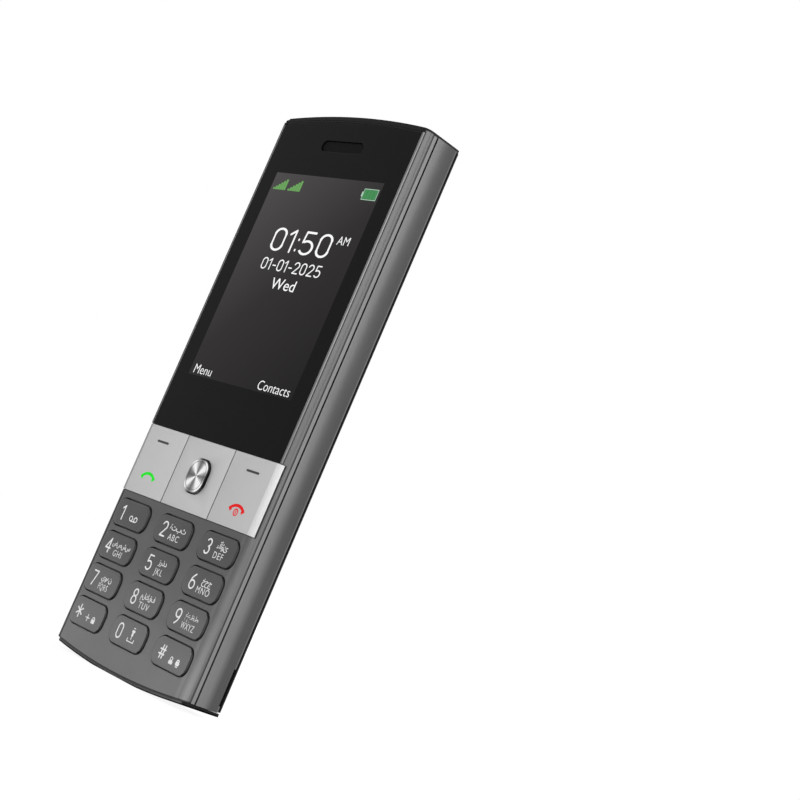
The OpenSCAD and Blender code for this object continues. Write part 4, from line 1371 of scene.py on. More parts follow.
# Plates with a painted highlight on the wrapped right edge and painted shade on the left edge.
PLATES = SatinPaint("silver_wrapped_painted_edges", grey(187), edges=(-22.62, 22.6))
GLASS = DarkGlass("black_glass", grey(6), 0.06, 1.15)
WHITE_INK = PrintInk("white_print", grey(236))
GREY_INK = PrintInk("grey_print", grey(226))
DARK_INK = PrintInk("dark_print", grey(52))
# Painted shade in the gaps between the plates.
GAP_SHADE = PrintInk("gap_painted_shade", grey(96))
GREEN_INK = PrintInk("green_print", srgb(12, 232, 28))
RED_INK = PrintInk("red_print", srgb(226, 6, 12))


@dataclass
class Keypad:
    """Twelve pillowed keys with their printed signs.

    A small bar is its two ends and its width. A small arc is its centre, radius, width and sweep.
    A small plate is its middle, width, height, corner radius and the steps of a corner.
    """

    proud: float = 0.6
    crown_across: float = 90.0
    crown_along: float = 40.0
    flange: float = 0.42
    corner: float = 2.1
    edge: float = 0.34
    face: float = 1.0
    flange_back: float = 1.45
    post_back: float = 2.0
    post: float = 1.1
    cuts_across: int = 14
    cuts_along: int = 8
    edge_steps: int = 5
    # Tilts past which a key's faces are painted dark as shade: all sides, and the right side from a
    # lesser tilt.
    shade_tilt: float = -0.35
    right_shade_tilt: float = 0.45
    digit_at: Spot = (-2.8, -0.05)
    digit_height: float = 3.4
    digit_stroke: float = 0.34
    star_share: float = 1.22
    letters_at: Spot = (1.4, -1.2)
    letters_run: float = 2.7
    letters_height: float = 1.36
    letters_weight: float = -0.004
    letters_spacing: float = 1.18
    script_at: Spot = (1.75, 0.85)
    script_height: float = 1.15
    script_weight: float = 0.012
    script_narrow: dict[str, float] = field(default_factory=lambda: {"4": 0.78, "8": 0.78})
    keys: tuple[tuple[str, str], ...] = (
        ("1", ""), ("2", "ABC"), ("3", "DEF"), ("4", "GHI"), ("5", "JKL"), ("6", "MNO"),
        ("7", "PQRS"), ("8", "TUV"), ("9", "WXYZ"), ("*", ""), ("0", ""), ("#", ""))
    sign_names: dict[str, str] = field(default_factory=lambda: {"*": "star", "#": "hash"})
    scripts: dict[str, str] = field(default_factory=lambda: {
        "2": "ةتبث", "3": "ءآأؤئ", "4": "ضصشس", "5": "زرذد",
        "6": "خحج", "7": "يوهن", "8": "ملكقف", "9": "غعظط"})
    small_bars: dict[str, tuple[tuple[float, ...], ...]] = field(default_factory=lambda: {
        "1": ((0.85, -1.22, 2.5, -1.22, 0.22),),
        "*": ((0.2, -0.7, 1.6, -0.7, 0.2), (0.9, -1.4, 0.9, 0.0, 0.2)),
        "0": ((1.7, 1.6, 2.1, 1.6, 0.2), (1.9, -0.2, 1.9, -0.75, 0.2), (0.8, -0.7, 0.8, -1.3, 0.2),
              (0.8, -1.3, 3.0, -1.3, 0.2), (3.0, -1.3, 3.0, -0.7, 0.2)),
        "#": ((2.8, -1.6, 3.4, -1.6, 0.2),)})
    small_arcs: dict[str, tuple[tuple[float, ...], ...]] = field(default_factory=lambda: {
        "1": ((0.85, -0.7, 0.52, 0.22, 360), (2.5, -0.7, 0.52, 0.22, 360)),
        "*": ((3.1, -0.5, 0.38, 0.2, 180),),
        "#": ((0.9, -0.5, 0.36, 0.2, 360), (3.1, -0.55, 0.34, 0.28, 180))})
    small_plates: dict[str, tuple[tuple[float, ...], ...]] = field(default_factory=lambda: {
        "*": ((3.1, -1.0, 1.2, 0.9, 0.15, 3),),
        "0": ((1.9, 0.35, 0.55, 0.9, 0.1, 3), (1.9, 0.95, 1.0, 0.5, 0.1, 3)),
        "#": ((0.9, -1.25, 1.3, 0.75, 0.2, 3), (3.1, -0.95, 1.2, 0.9, 0.4, 4))})

    def crown(self, x: float, z: float) -> float:
        """Give the drop of the pillowed top at a place counted from the key's middle."""
        return math.hypot(x * x / (2 * self.crown_across), z * z / (2 * self.crown_along))

    def cap(self, width: float, height: float) -> Form:
        """Make one key about the origin.

        Args:
            width: Width of the cap.
            height: Height of the cap.

        Returns:
            The cap with its flange and post; index 1 marks its sides, painted dark as shade.
        """
        form = Form.plate(width, height, self.corner, (-self.proud, self.face))
        form.bm.normal_update()
        top = min(form.bm.faces, key=lambda face: face.calc_center_median().y)
        back = max(form.bm.faces, key=lambda face: face.calc_center_median().y)
        bmesh.ops.bevel(form.bm, geom=list(top.edges), offset=self.edge, segments=self.edge_steps,
                        profile=0.5, affect="EDGES", material=-1, clamp_overlap=True)
        for reach, depth in ((self.flange, self.face), (0.0, self.flange_back),
                             (None, self.flange_back), (0.0, self.post_back)):
            back = self.step_back(form, back, reach, depth, (width, height))
        for size, cuts, axis in ((width, self.cuts_across, Axis.ACROSS),
                                 (height, self.cuts_along, Axis.LENGTH)):
            form.slice([size * (step / cuts - 0.5) for step in range(1, cuts)], axis)
        form.bend(lambda at: Vector((0, self.crown(at.x, at.z) if at.y < 0 else 0, 0)))
        # The sides, and the right side from a lesser tilt, are painted dark as shade.
        return form.paint(lambda face: face.normal.y > self.shade_tilt
                          or face.normal.x > self.right_shade_tilt, 1)

    def step_back(self, form: Form, back: bmesh.types.BMFace, reach: float | None, depth: float,
                  size: Spot) -> bmesh.types.BMFace:
        """Extrude the back of a key by one step.

        Args:
            form: The key.
            back: Its rearmost face.
            reach: Growth all round, or None to shrink to the post.
            depth: Depth of the new face.
            size: Width and height of the cap.

        Returns:
            The new rearmost face.
        """
        made = bmesh.ops.extrude_discrete_faces(form.bm, faces=[back])["faces"][0]
        if reach is None:
            grow = (2 * self.post / (size[0] + 2 * self.flange), 1,
                    2 * self.post / (size[1] + 2 * self.flange))
        else:
            grow = (1 + 2 * reach / size[0], 1, 1 + 2 * reach / size[1])
        bmesh.ops.scale(form.bm, vec=grow, verts=made.verts)
        for vert in made.verts:
            vert.co.y = depth
        return made

    def signs(self, digit: str, letters: str) -> tuple[Form, Form]:
        """Make the signs of one key about the origin.

        Args:
            digit: Its digit, star or hash.
            letters: Its letters.

        Returns:
            The white signs and the paler signs.
        """
        white, pale = Form(), Form()
        height = self.digit_height * (self.star_share if digit == "*" else 1.0)
        white.add(StrokeSigns.write(digit, height, self.digit_at, self.digit_stroke))
        white.add(*self.small_signs(digit))
        if letters:
            pale.add(Form.lettering(letters, self.letters_height, self.letters_at,
                                    weight=self.letters_weight, narrow=self.letters_run / len(letters),
                                    spacing=self.letters_spacing))
        if digit in self.scripts:
            pale.add(Form.lettering(self.scripts[digit], self.script_height, self.script_at,
                                    weight=self.script_weight,
                                    narrow=self.script_narrow.get(digit, 1.0)))
        return white, pale

    def small_signs(self, digit: str) -> list[Form]:
        """Make the small function signs of the keys without letters.

        Args:
            digit: Digit, star or hash of the key.

        Returns:
            The strokes, arcs and plates of its signs.
        """
        bars = [Form.bar((x0, z0), (x1, z1), width, PRINT_DEPTHS)
                for x0, z0, x1, z1, width in self.small_bars.get(digit, ())]
        arcs = [Form.arc((x, z), radius, width, (0, sweep), PRINT_DEPTHS)
                for x, z, radius, width, sweep in self.small_arcs.get(digit, ())]
        plates = [Form.plate(width, height, corner, PRINT_DEPTHS, (x, z), segments)
                  for x, z, width, height, corner, segments in self.small_plates.get(digit, ())]
        return bars + arcs + plates

    def build(self) -> None:
        """Make the keys and print their signs on them."""
        for digit, letters in self.keys:
            name = self.sign_names.get(digit, digit)
            node, body = "key_" + name, "press_" + name
            low, high = (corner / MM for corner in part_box(node))
            middle = (low + high) / 2
            width, height = high.x - low.x - 2 * self.flange, high.z - low.z - 2 * self.flange
            key = self.cap(width, height).move(middle.x, 0, middle.z)
            key.piece(node + "_cap", body, (KEY_TOP, KEY_SIDE_SHADE), "key_plastic", (node,))
            for form, finish, part in zip(self.signs(digit, letters), (WHITE_INK, GREY_INK),
                                          ("sign", "letters")):
                if not form.bm.verts:
                    continue
                form.bend(lambda at: Vector((0, self.crown(at.x, at.z) - self.proud, 0)))
                form.move(middle.x, 0, middle.z)
                form.piece(f"{node}_{part}", body, (finish,), "key_plastic")


@dataclass
class FunctionPanel:
    """Three silver plates round the OK button, with their printed signs."""

    proud: float = 0.1
    wrap: float = 0.63
    edge: float = 2.1
    softness: float = 0.09
    hole: Spot = (6.85, 7.75)
    button: Spot = (6.4, 7.3)
    corner: float = 2.6
    gap: Spot = (7.9, 9.2)
    button_proud: float = 0.62
    button_back: float = 0.55
    lip: float = 0.16
    rim: float = 0.34
    groove: float = 0.12
    dish: float = 0.07
    dish_share: float = 0.6
    # Tilt past which the button's faces take the flank's painted shade.
    flank_tilt: float = -0.85
    gap_tilt: float = 0.3
    stock: float = 3.0
    hole_play: float = 0.15
    edge_steps: int = 14
    corner_steps: int = 16
    dash: float = 3.8
    dash_width: float = 0.5
    dash_at: Spot = (16.4, 48.6)
    call_at: Spot = (16.4, 40.3)
    call_radius: float = 3.3
    call_width: float = 0.66
    call_drop: float = 0.72
    call_sweep: Spot = (42, 138)
    call_end: float = 13.0
    end_inset: float = 0.16
    end_grow: float = 0.3
    end_lift: float = 0.008
    power_drop: float = 0.5
    power_ring: Spot = (0.66, 0.27)
    power_bar: Spot = (0.5, 0.26)
    # Painted reflections on the button's face: turn shares and grey levels.
    rays: tuple[Spot, ...] = (
        (0.0, 92), (0.05, 120), (0.1, 236), (0.15, 240), (0.19, 150), (0.235, 96), (0.28, 150),
        (0.33, 238), (0.41, 240), (0.46, 150), (0.51, 100), (0.56, 170), (0.6, 236), (0.66, 238),
        (0.71, 140), (0.75, 96), (0.8, 170), (0.84, 240), (0.88, 240), (0.94, 130), (1.0, 92))
    # Painted shade and highlights on the button's flank.
    flank_rays: tuple[Spot, ...] = ((0.0, 40), (0.2, 70), (0.32, 100), (0.42, 12), (0.56, 8),
                                    (0.66, 50), (0.8, 60), (1.0, 40))

    def plate(self, node: str) -> Form:
        """Make a plate that wraps the rounded front edge of the housing.

        Args:
            node: CAD node whose place it takes.

        Returns:
            The plate.
        """
        low, high = (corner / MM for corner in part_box(node))
        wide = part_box("front_shell")[1].x / MM + self.proud
        bar = Form.block((-wide, -self.proud, low.z), (wide, self.stock, high.z))
        bar.round_edges(bar.edges_along(Axis.LENGTH, lambda at: at.y < 0), self.edge, self.edge_steps)
        left = -wide - 1 if low.x < self.edge - wide else low.x
        right = wide + 1 if high.x > wide - self.edge else high.x
        keep = Form.block((left, -1, low.z - 1), (right, self.wrap, high.z + 1))
        return bar.cut(keep, Cut.COMMON)

    def between(self, face: bmesh.types.BMFace) -> bool:
        """Tell whether a face stands in the narrow gap between two plates."""
        across = abs(face.calc_center_median().x)
        return self.gap[0] < across < self.gap[1] and abs(face.normal.x) > self.gap_tilt

    def ok_middle(self) -> Spot:
        """Give the middle of the OK button, across and along the length."""
        low, high = (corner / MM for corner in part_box("ok_button"))
        return (low.x + high.x) / 2, (low.z + high.z) / 2

    def ok(self) -> Form:
        """Make the OK button: rim, groove and dished face; index 1 marks its flank, painted dark as
        shade.

        Returns:
            The button.
        """
        form = Form.plate(*self.button, self.corner, (-self.button_proud, self.button_back),
                          self.ok_middle(), self.corner_steps)
        form.bm.normal_update()
        top = min(form.bm.faces, key=lambda face: face.calc_center_median().y)
        bmesh.ops.bevel(form.bm, geom=list(top.edges), offset=self.lip, segments=4, profile=0.5,
                        affect="EDGES", material=-1, clamp_overlap=True)
        form.bm.normal_update()
        top = min(form.bm.faces, key=lambda face: face.calc_center_median().y)
        for thick, depth in ((self.rim, 0.0), (self.groove / 2, -self.dish), (self.groove, 0.0),
                             (self.groove / 2, self.dish * self.dish_share)):
            bmesh.ops.inset_region(form.bm, faces=[top], thickness=thick, depth=depth,
                                   use_even_offset=True)
        # The flank is painted dark as shade.
        return form.paint(lambda face: face.normal.y > self.flank_tilt, 1)

    def receiver(self, middle: Spot) -> Form:
        """Make the sign of a telephone receiver lying on its side.

        Args:
            middle: Middle of the sign, across and along the length.

        Returns:
            The sign.
        """
        front, back = self.print_depths()
        low = (middle[0], middle[1] - self.call_radius * self.call_drop)
        form = Form.arc(low, self.call_radius, self.call_width, self.call_sweep, (front, back))
        start, stop = self.call_sweep
        for sweep in ((start, start + self.call_end), (stop - self.call_end, stop)):
            form.add(Form.arc(low, self.call_radius - self.end_inset, self.call_width + self.end_grow,
                              sweep, (front - self.end_lift, back)))
        return form

    def print_depths(self) -> Spot:
        """Give the depths of the front and the back of a sign printed on a plate."""
        return -self.proud - PRINT / 2, -self.proud + PRINT / 2

    def build(self) -> None:
        """Make the plates, the button and the signs."""
        for node, body in (("left_plate", "left_rocker"), ("right_plate", "right_rocker"),
                           ("nav_plate", "nav_pad")):
            form = self.plate(node)
            if node == "nav_plate":
                form.cut(Form.plate(*self.hole, self.corner + self.hole_play, (-2, self.stock),
                                    self.ok_middle(), self.corner_steps))
            form.soften(self.softness)
            # Faces in the gaps between the plates are painted darker as shade.
            form.paint(self.between, 1)
            form.piece(node + "_skin", body, (PLATES, GAP_SHADE), "silver", (node,))
        x, z = self.ok_middle()
        metal = ConicMetal("ok_turned_metal", (x, 0, z), self.rays)
        flank = ConicMetal("ok_flank_painted_shade", (x, 0, z), self.flank_rays, 0.4, 0.3, specular=0.2)
        self.ok().piece("ok_button_cap", "ok", (metal, flank), "brushed_button", ("ok_button",))
        self.signs(Side.LEFT, "left_rocker", "call", GREEN_INK)
        self.signs(Side.RIGHT, "right_rocker", "end", RED_INK)

    def signs(self, side: Side, body: str, name: str, ink: Finish) -> None:
        """Print the dash and the receiver of one side plate, and the power sign on the right one.

        Args:
            side: Side of the plate.
            body: Body of the plate.
            name: What its receiver stands for.
            ink: Ink of the receiver.
        """
        depths = self.print_depths()
        x, z = side.value * self.dash_at[0], self.dash_at[1]
        dash = Form.bar((x - self.dash / 2, z), (x + self.dash / 2, z), self.dash_width, depths)
        dash.piece(name + "_softkey_dash", body, (DARK_INK,), "silver")
        x, z = side.value * self.call_at[0], self.call_at[1]
        sign = self.receiver((x, z))
        if side is Side.RIGHT:
            z -= self.power_drop
            tall, width = self.power_bar
            sign.add(Form.arc((x, z), *self.power_ring, (0, 360), depths),
                     Form.bar((x, z - tall / 2), (x, z + tall / 2), width, depths))
        sign.piece(name + "_sign", body, (ink,), "silver")


@dataclass
class DisplayFront:
    """Black glass with the lit picture, its signs and the earpiece slot."""

    picture: Spot = (36.72, 48.96)
    picture_low: float = 64.67
    glow_half: Spot = (21.6, 21.3)
    end_radius: float = 200.0
    end_inset: float = 1.05
    bezel_inset: float = 0.55
    bezel_gap: float = 0.05
    bezel_edge: float = 0.06
    thick: float = 0.85
    glass_edge: float = 0.08
    slot: Spot = (13.9, 2.6)
    slot_steps: int = 12
    stations: int = 30
    time_at: Spot = (0.2, 98.2)
    time_height: float = 5.5
    time_stroke: float = 0.5
    time_wide: float = 1.36
    half_at: Spot = (13.6, 99.9)
    half_height: float = 1.95
    half_weight: float = -0.008
    date_at: Spot = (0.3, 92.4)
    date_height: float = 2.75
    date_stroke: float = 0.27
    date_wide: float = 1.17
    day_at: Spot = (0.5, 88.3)
    day_height: float = 2.5
    day_wide: float = 1.15
    softkey_left: Spot = (-17.2, 66.2)
    softkey_right: Spot = (17.3, 66.2)
    softkey_height: float = 2.1
    softkey_weight: float = -0.01
    signal_x: Spot = (-17.4, -12.2)
    signal_z: float = 109.6
    signal_steps: int = 6
    signal_pitch: float = 0.74
    signal_width: float = 0.66
    signal_low: float = 0.45
    signal_rise: float = 0.42
    battery_at: Spot = (15.3, 110.75)
    battery_x: Spot = (-2.15, 2.35)
    battery_half: float = 1.2
    battery_line: float = 0.16
    knob_x: float = -2.4
    knob: Point = (0.4, 1.1, 0.1)
    bars: int = 4
    bars_x: float = -1.48
    bars_pitch: float = 1.055
    bar: Point = (0.99, 2.12, 0.06)
    sign_steps: int = 2

    def bowed(self, low: Vector, high: Vector, depths: Spot, inset: float) -> Form:
        """Make a plate with a bowed upper end.

        Args:
            low: Its lower corner, of which x and z count.
            high: Its upper corner, likewise.
            depths: Depths of its front and its back.
            inset: How far its upper end lies inside the end of the phone.

        Returns:
            The plate.
        """
        form = Form.block((low.x, depths[0], low.z), (high.x, depths[1], high.z))
        step = (high.x - low.x) / self.stations
        form.slice([low.x + step * count for count in range(1, self.stations)], Axis.ACROSS)
        radius = self.end_radius - inset
        form.bend(lambda at: Vector((0, 0, math.sqrt(radius ** 2 - at.x ** 2) - radius
                                     if at.z > high.z - 1 else 0)))
        return form

    def bezel(self) -> Form:
        """Make the grey strip round the glass, with a flat front.

        Returns:
            The strip.
        """
        low, high = (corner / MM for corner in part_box("bezel_trim"))
        form = self.bowed(low, high, (0.0, self.thick), self.bezel_inset)
        low, high = (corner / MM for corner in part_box("display_glass"))
        gap = Vector((self.bezel_gap, 0, self.bezel_gap))
        form.cut(self.bowed(low - Vector((gap.x, 0, 1)), high + gap, (-1, 2), self.end_inset))
        return form.soften(self.bezel_edge)

    def glass(self) -> Form:
        """Make the glass with its bowed upper end; index 1 marks the picture.

        Returns:
            The glass.
        """
        low, high = (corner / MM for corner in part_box("display_glass"))
        form = self.bowed(low, high, (0.0, self.thick), self.end_inset)
        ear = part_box("earpiece_mesh")
        ear_z = (ear[0].z + ear[1].z) / 2 / MM
        form.cut(Form.plate(*self.slot, self.slot[1] / 2, (-1, 2), (0, ear_z), self.slot_steps))
        form.soften(self.glass_edge)
        half = self.picture[0] / 2
        top = self.picture_low + self.picture[1]
        form.slice((-half, half), Axis.ACROSS).slice((self.picture_low, top), Axis.LENGTH)

        def lit(face: bmesh.types.BMFace) -> bool:
            """Tell whether a face of the front lies in the picture."""
            at = face.calc_center_median()
            return at.y < WELD and abs(at.x) < half and self.picture_low < at.z < top
        return form.paint(lit, 1)

    def signal(self, x: float) -> Form:
        """Make a stepped signal sign.

        Args:
            x: Place of its left end.

        Returns:
            The sign.
        """
        front, back = PRINT_DEPTHS
        form = Form()
        for step in range(self.signal_steps):
            left = x + step * self.signal_pitch
            top = self.signal_z + self.signal_low + step * self.signal_rise
            form.add(Form.block((left, front, self.signal_z), (left + self.signal_width, back, top)))
        return form

    def battery(self) -> tuple[Form, Form]:
        """Make the battery sign.

        Returns:
            Its outline with the knob, and the bars in it.
        """
        x, z = self.battery_at
        left, right = (x + reach for reach in self.battery_x)
        low, high = z - self.battery_half, z + self.battery_half
        outline, bars = Form(), Form()
        for start, end in (((left, low), (right, low)), ((left, high), (right, high)),
                           ((left, low), (left, high)), ((right, low), (right, high))):
            outline.add(Form.bar(start, end, self.battery_line, PRINT_DEPTHS))
        outline.add(Form.plate(*self.knob, PRINT_DEPTHS, (x + self.knob_x, z), self.sign_steps))
        for step in range(self.bars):
            middle = x + self.bars_x + step * self.bars_pitch
            bars.add(Form.plate(*self.bar, PRINT_DEPTHS, (middle, z), self.sign_steps))
        return outline, bars

    def build(self) -> None:
        """Make the glass and what its picture shows."""
        centre = (0.0, 0.0, self.picture_low + self.picture[1] / 2)
        glow = PictureGlow("picture_glow", centre, self.glow_half,
                           srgb(70, 67, 68), srgb(37, 34, 35), srgb(18, 15, 16))
        self.glass().piece("display_glass_plate", "phone", (GLASS, glow), "black_glass",
                           ("display_glass",), 0.3)
        self.bezel().piece("bezel_trim_strip", "phone", (BEZEL,), "frame_grey", ("bezel_trim",))
        white = ScreenInk("screen_white", grey(245))
        green = ScreenInk("screen_green", srgb(80, 150, 58))
        deep = ScreenInk("screen_deep_green", srgb(0, 124, 50))
        pale = ScreenInk("screen_pale_green", srgb(160, 196, 172))
        clock = StrokeSigns.write("01:50", self.time_height, self.time_at, self.time_stroke,
                                  self.time_wide)
        clock.add(Form.lettering("AM", self.half_height, self.half_at, weight=self.half_weight))
        clock.piece("display_clock", "phone", (white,), "display")
        date = StrokeSigns.write("01-01-2025", self.date_height, self.date_at, self.date_stroke,
                                 self.date_wide)
        date.add(Form.lettering("Wed", self.day_height, self.day_at, narrow=self.day_wide))
        date.piece("display_date", "phone", (white,), "display")
        labels = Form.lettering("Menu", self.softkey_height, self.softkey_left, Align.LEFT,
                                self.softkey_weight)
        labels.add(Form.lettering("Contacts", self.softkey_height, self.softkey_right, Align.RIGHT,
                                  self.softkey_weight))
        labels.piece("display_softkey_labels", "phone", (white,), "display")
        signals = Form().add(*(self.signal(x) for x in self.signal_x))
        outline, bars = self.battery()
        signals.piece("display_signal_bars", "phone", (green,), "display")
        bars.piece("display_battery_bars", "phone", (deep,), "display")
        outline.piece("display_battery_outline", "phone", (pale,), "display")


@dataclass
class CameraIsland:
    """Stepped rings with painted gloss round the lens on the back."""

    rim: float = 13.8
    rim_in: float = 12.7
    rim_top: float = 12.75
    base: float = 11.3
    ring_a: Spot = (10.9, 12.65)
    ring_a_top: float = 12.45
    ring_a_slope: float = 0.1
    ring_b: Spot = (9.52, 10.65)
    ring_b_top: float = 12.3
    ring_b_slope: float = 0.12
    field_top: float = 12.0
    field_slope: float = 0.2
    inner: Spot = (5.59, 6.35)
    inner_top: float = 12.25
    inner_slope: float = 0.05
    inner_edge: float = 0.15
    rim_edge: float = 0.3
    corner_share: float = 0.3
    eye: float = 5.54
    eye_top: float = 12.05
    eye_lip: float = 0.5
    floor_reach: Spot = (1.2, 0.3)
    floor_drop: float = 0.35
    well_drop: float = 0.45
    lens: float = 1.5
    lens_rise: float = 0.4
    lens_drop: float = 0.48
    lens_back: float = 0.6
    lens_rows: int = 8
    lens_steps: int = 96
    slot_radius: float = 15.5
    slot_width: float = 1.2
    slot_turn: float = 35.0
    slot_depths: Spot = (12.0, 12.22)
    slot_steps: int = 48
    end_steps: int = 32
    end_drop: float = 0.012
    # Painted reflections on the rings: turn shares and grey levels in their colour.
    rays_a: tuple[Spot, ...] = (
        (0.0, 44), (0.02, 51), (0.09, 22), (0.14, 35), (0.2, 3), (0.26, 31), (0.3, 8), (0.37, 36),
        (0.42, 20), (0.48, 56), (0.55, 21), (0.64, 82), (0.74, 7), (0.8, 44), (0.86, 94), (0.94, 17),
        (1.0, 44))
    rays_b: tuple[Spot, ...] = (
        (0.0, 42), (0.05, 65), (0.18, 18), (0.29, 62), (0.34, 23), (0.4, 71), (0.46, 13), (0.53, 65),
        (0.66, 10), (0.79, 59), (0.84, 18), (0.91, 65), (0.97, 28), (1.0, 42))
    rays_c: tuple[Spot, ...] = (
        (0.0, 28), (0.09, 4), (0.16, 30), (0.21, 8), (0.27, 40), (0.32, 5), (0.38, 42), (0.44, 8),
        (0.49, 62), (0.54, 12), (0.63, 98), (0.74, 12), (0.79, 58), (0.84, 104), (0.94, 4), (1.0, 28))

    def middle(self) -> Spot:
        """Give the axis of the rings, across and along the length."""
        low, high = (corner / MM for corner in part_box("camera_rim"))
        return (low.x + high.x) / 2, (low.z + high.z) / 2

    def ring(self, low: float, high: float, top: float, slope: float = 0.0, edge: float = 0.12
             ) -> Form:
        """Make a ring with softened upper edges.

        Args:
            low: Inner radius.
            high: Outer radius.
            top: Depth of its outer upper edge.
            slope: How far the inner upper edge lies deeper.
            edge: Size of the softened edges.

        Returns:
            The ring.
        """
        near, inner_top = edge * self.corner_share, top - slope
        outline = ((low, self.base), (high, self.base), (high, top - edge), (high - near, top - near),
                   (high - edge, top), (low + edge, inner_top), (low + near, inner_top - near),
                   (low, inner_top - edge))
        return Form.turned(outline, self.middle())

    def slot_mesh(self) -> Form:
        """Make the band of mesh with round ends that fills the loudspeaker's slot.

        Returns:
            The band.
        """
        x, z = self.middle()
        sweep = (90 - self.slot_turn, 90 + self.slot_turn)
        form = Form.arc((x, z), self.slot_radius, self.slot_width, sweep, self.slot_depths,
                        self.slot_steps)
        half = self.slot_width / 2
        low, high = self.slot_depths[0], self.slot_depths[1] - self.end_drop
        outline = ((0, low), (half, low), (half, high), (0, high))
        for angle in map(math.radians, sweep):
            spot = (x + self.slot_radius * math.cos(angle), z + self.slot_radius * math.sin(angle))
            form.add(Form.turned(outline, spot, self.end_steps))
        return form

    def rings(self) -> None:
        """Make the rim, the rings and the matt fields between them."""
        x, z = self.middle()
        # Rings whose gloss is painted into their colour, with hardly any real specular.
        painted_gloss_a, painted_gloss_b, thin = (
            ConicMetal(title, (x, 0.0, z), rays, 0.4, 0.0, specular=specular)
            for title, rays, specular in (("ring_black_painted_gloss", self.rays_a, 0.01),
                                          ("ring_bright_painted_gloss", self.rays_b, 0.01),
                                          ("ring_thin_painted_gloss", self.rays_c, 0.02)))
        dark = MouldedPlastic("rim_dark", grey(28), 0.5, specular=0.05)
        matt = MouldedPlastic("field_matt_black", grey(2), 0.8, specular=0.0)
        rim = self.ring(self.rim_in, self.rim, self.rim_top, edge=self.rim_edge)
        rim.piece("camera_rim_ring", "cover", (dark,), "rim_plastic", ("camera_rim",))
        outer = self.ring(*self.ring_a, self.ring_a_top, self.ring_a_slope)
        outer.piece("camera_ring_outer", "cover", (painted_gloss_a,), "black_gloss", ("camera_plate",))
        second = self.ring(*self.ring_b, self.ring_b_top, self.ring_b_slope)
        second.piece("camera_ring_second", "cover", (painted_gloss_b,), "black_gloss")
        ground = self.ring(self.inner[1], self.ring_b[0], self.field_top, self.field_slope)
        ground.piece("camera_field", "cover", (matt,), "black_gloss")
        lane = self.ring(self.ring_b[1], self.ring_a[0], self.field_top)
        lane.piece("camera_ring_lane", "cover", (matt,), "black_gloss")
        inner = self.ring(*self.inner, self.inner_top, self.inner_slope, self.inner_edge)
        inner.piece("camera_ring_inner", "cover", (thin,), "ring_metal", ("camera_inner_ring",))

    def eye_glass(self) -> Form:
        """Make the black glass that falls away in steps to the lens.

        Returns:
            The glass.
        """
        floor, well = self.eye_top - self.floor_drop, self.eye_top - self.well_drop
        steps = [(self.lens + reach, floor) for reach in self.floor_reach]
        outline = ((0, self.base), (self.eye, self.base), (self.eye, self.eye_top),
                   (self.eye - self.eye_lip, self.eye_top), *steps, (self.lens, well), (0, well))
        return Form.turned(outline, self.middle())

    def lens_dome(self) -> Form:
        """Make the bulging lens.

        Returns:
            The lens.
        """
        back = self.eye_top - self.lens_back
        outline = [(0.0, back)]
        for row in range(self.lens_rows + 1):
            angle = math.radians(90 - row * 90 / self.lens_rows)
            outline.append((self.lens * math.cos(angle),
                            self.eye_top - self.lens_drop + self.lens_rise * math.sin(angle)))
        outline.append((self.lens, back))
        return Form.turned(outline, self.middle(), self.lens_steps)

    def build(self) -> None:
        """Make the rings, the eye with its lens and the mesh of the slot."""
        x, z = self.middle()
        self.rings()
        black = DarkGlass("eye_black", grey(2), 0.2, 1.03)
        self.eye_glass().piece("camera_eye", "cover", (black,), "black_glass", ("camera_glass",))
        coated = LensGlass("lens_coated", (x, 0.0, z), self.lens)
        self.lens_dome().piece("camera_lens", "cover", (coated,), "black_glass")
        mesh = MouldedPlastic("slot_mesh", grey(34), 0.7, specular=0.03)
        self.slot_mesh().piece("speaker_slot_mesh", "cover", (mesh,), "dark_metal")


@dataclass
class CarriedParts:
    """CAD nodes that stay as they are, dressed by the slot of their record."""

    finishes: dict[str, Finish] = field(default_factory=lambda: {
        "dark_housing": HOUSING, "key_plastic": KEY_TOP, "frame_grey": FRAME_GREY,
        "black_plastic": BLACK_PLASTIC, "black_glass": GLASS, "silver": SILVER,
        "display": MouldedPlastic("display_back", grey(60), 0.4),
        "dark_metal": Perforated("dark_mesh", grey(52)),
        "plain_metal": RolledMetal("tinned_sheet", grey(200)),
        "silicone": MouldedPlastic("silicone_milky", grey(205), 0.6, 0.3),
        "brushed_button": SILVER,
        "board": BoardLacquer("board_lacquer", srgb(18, 70, 44)),
        "gold_metal": RolledMetal("gilded_sheet", srgb(212, 170, 92)),
        "battery_wrap": BatteryWrap("battery_film", grey(48), grey(150), 58.0, 66.0),
        "rim_plastic": BLACK_PLASTIC, "black_gloss": BLACK_PLASTIC, "ring_metal": SILVER,
        "torch_phosphor": ClearPlastic("torch_phosphor", srgb(235, 215, 90), 0.4),
        "clear_lens": ClearPlastic("torch_lens_clear", grey(225))})

    def build(self) -> None:
        """Dress each node by its slot, and some nodes with finishes of their own."""
        own = {"back_cover": COVER, "screws": RolledMetal("screw_steel", grey(90), 0.3),
               "earpiece_mesh": MouldedPlastic("earpiece_mesh_dark", grey(16), 0.7, 0.3, specular=0.05),
               "bezel_trim": BEZEL, "bottom_cap": LOWER_CAP}
        for name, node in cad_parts.items():
            for slot in node.material_slots:
                finish = own.get(name) or self.finishes[slot.material.name]
                slot.material = finish.material()
            LOG.info("%s: dressed", name)


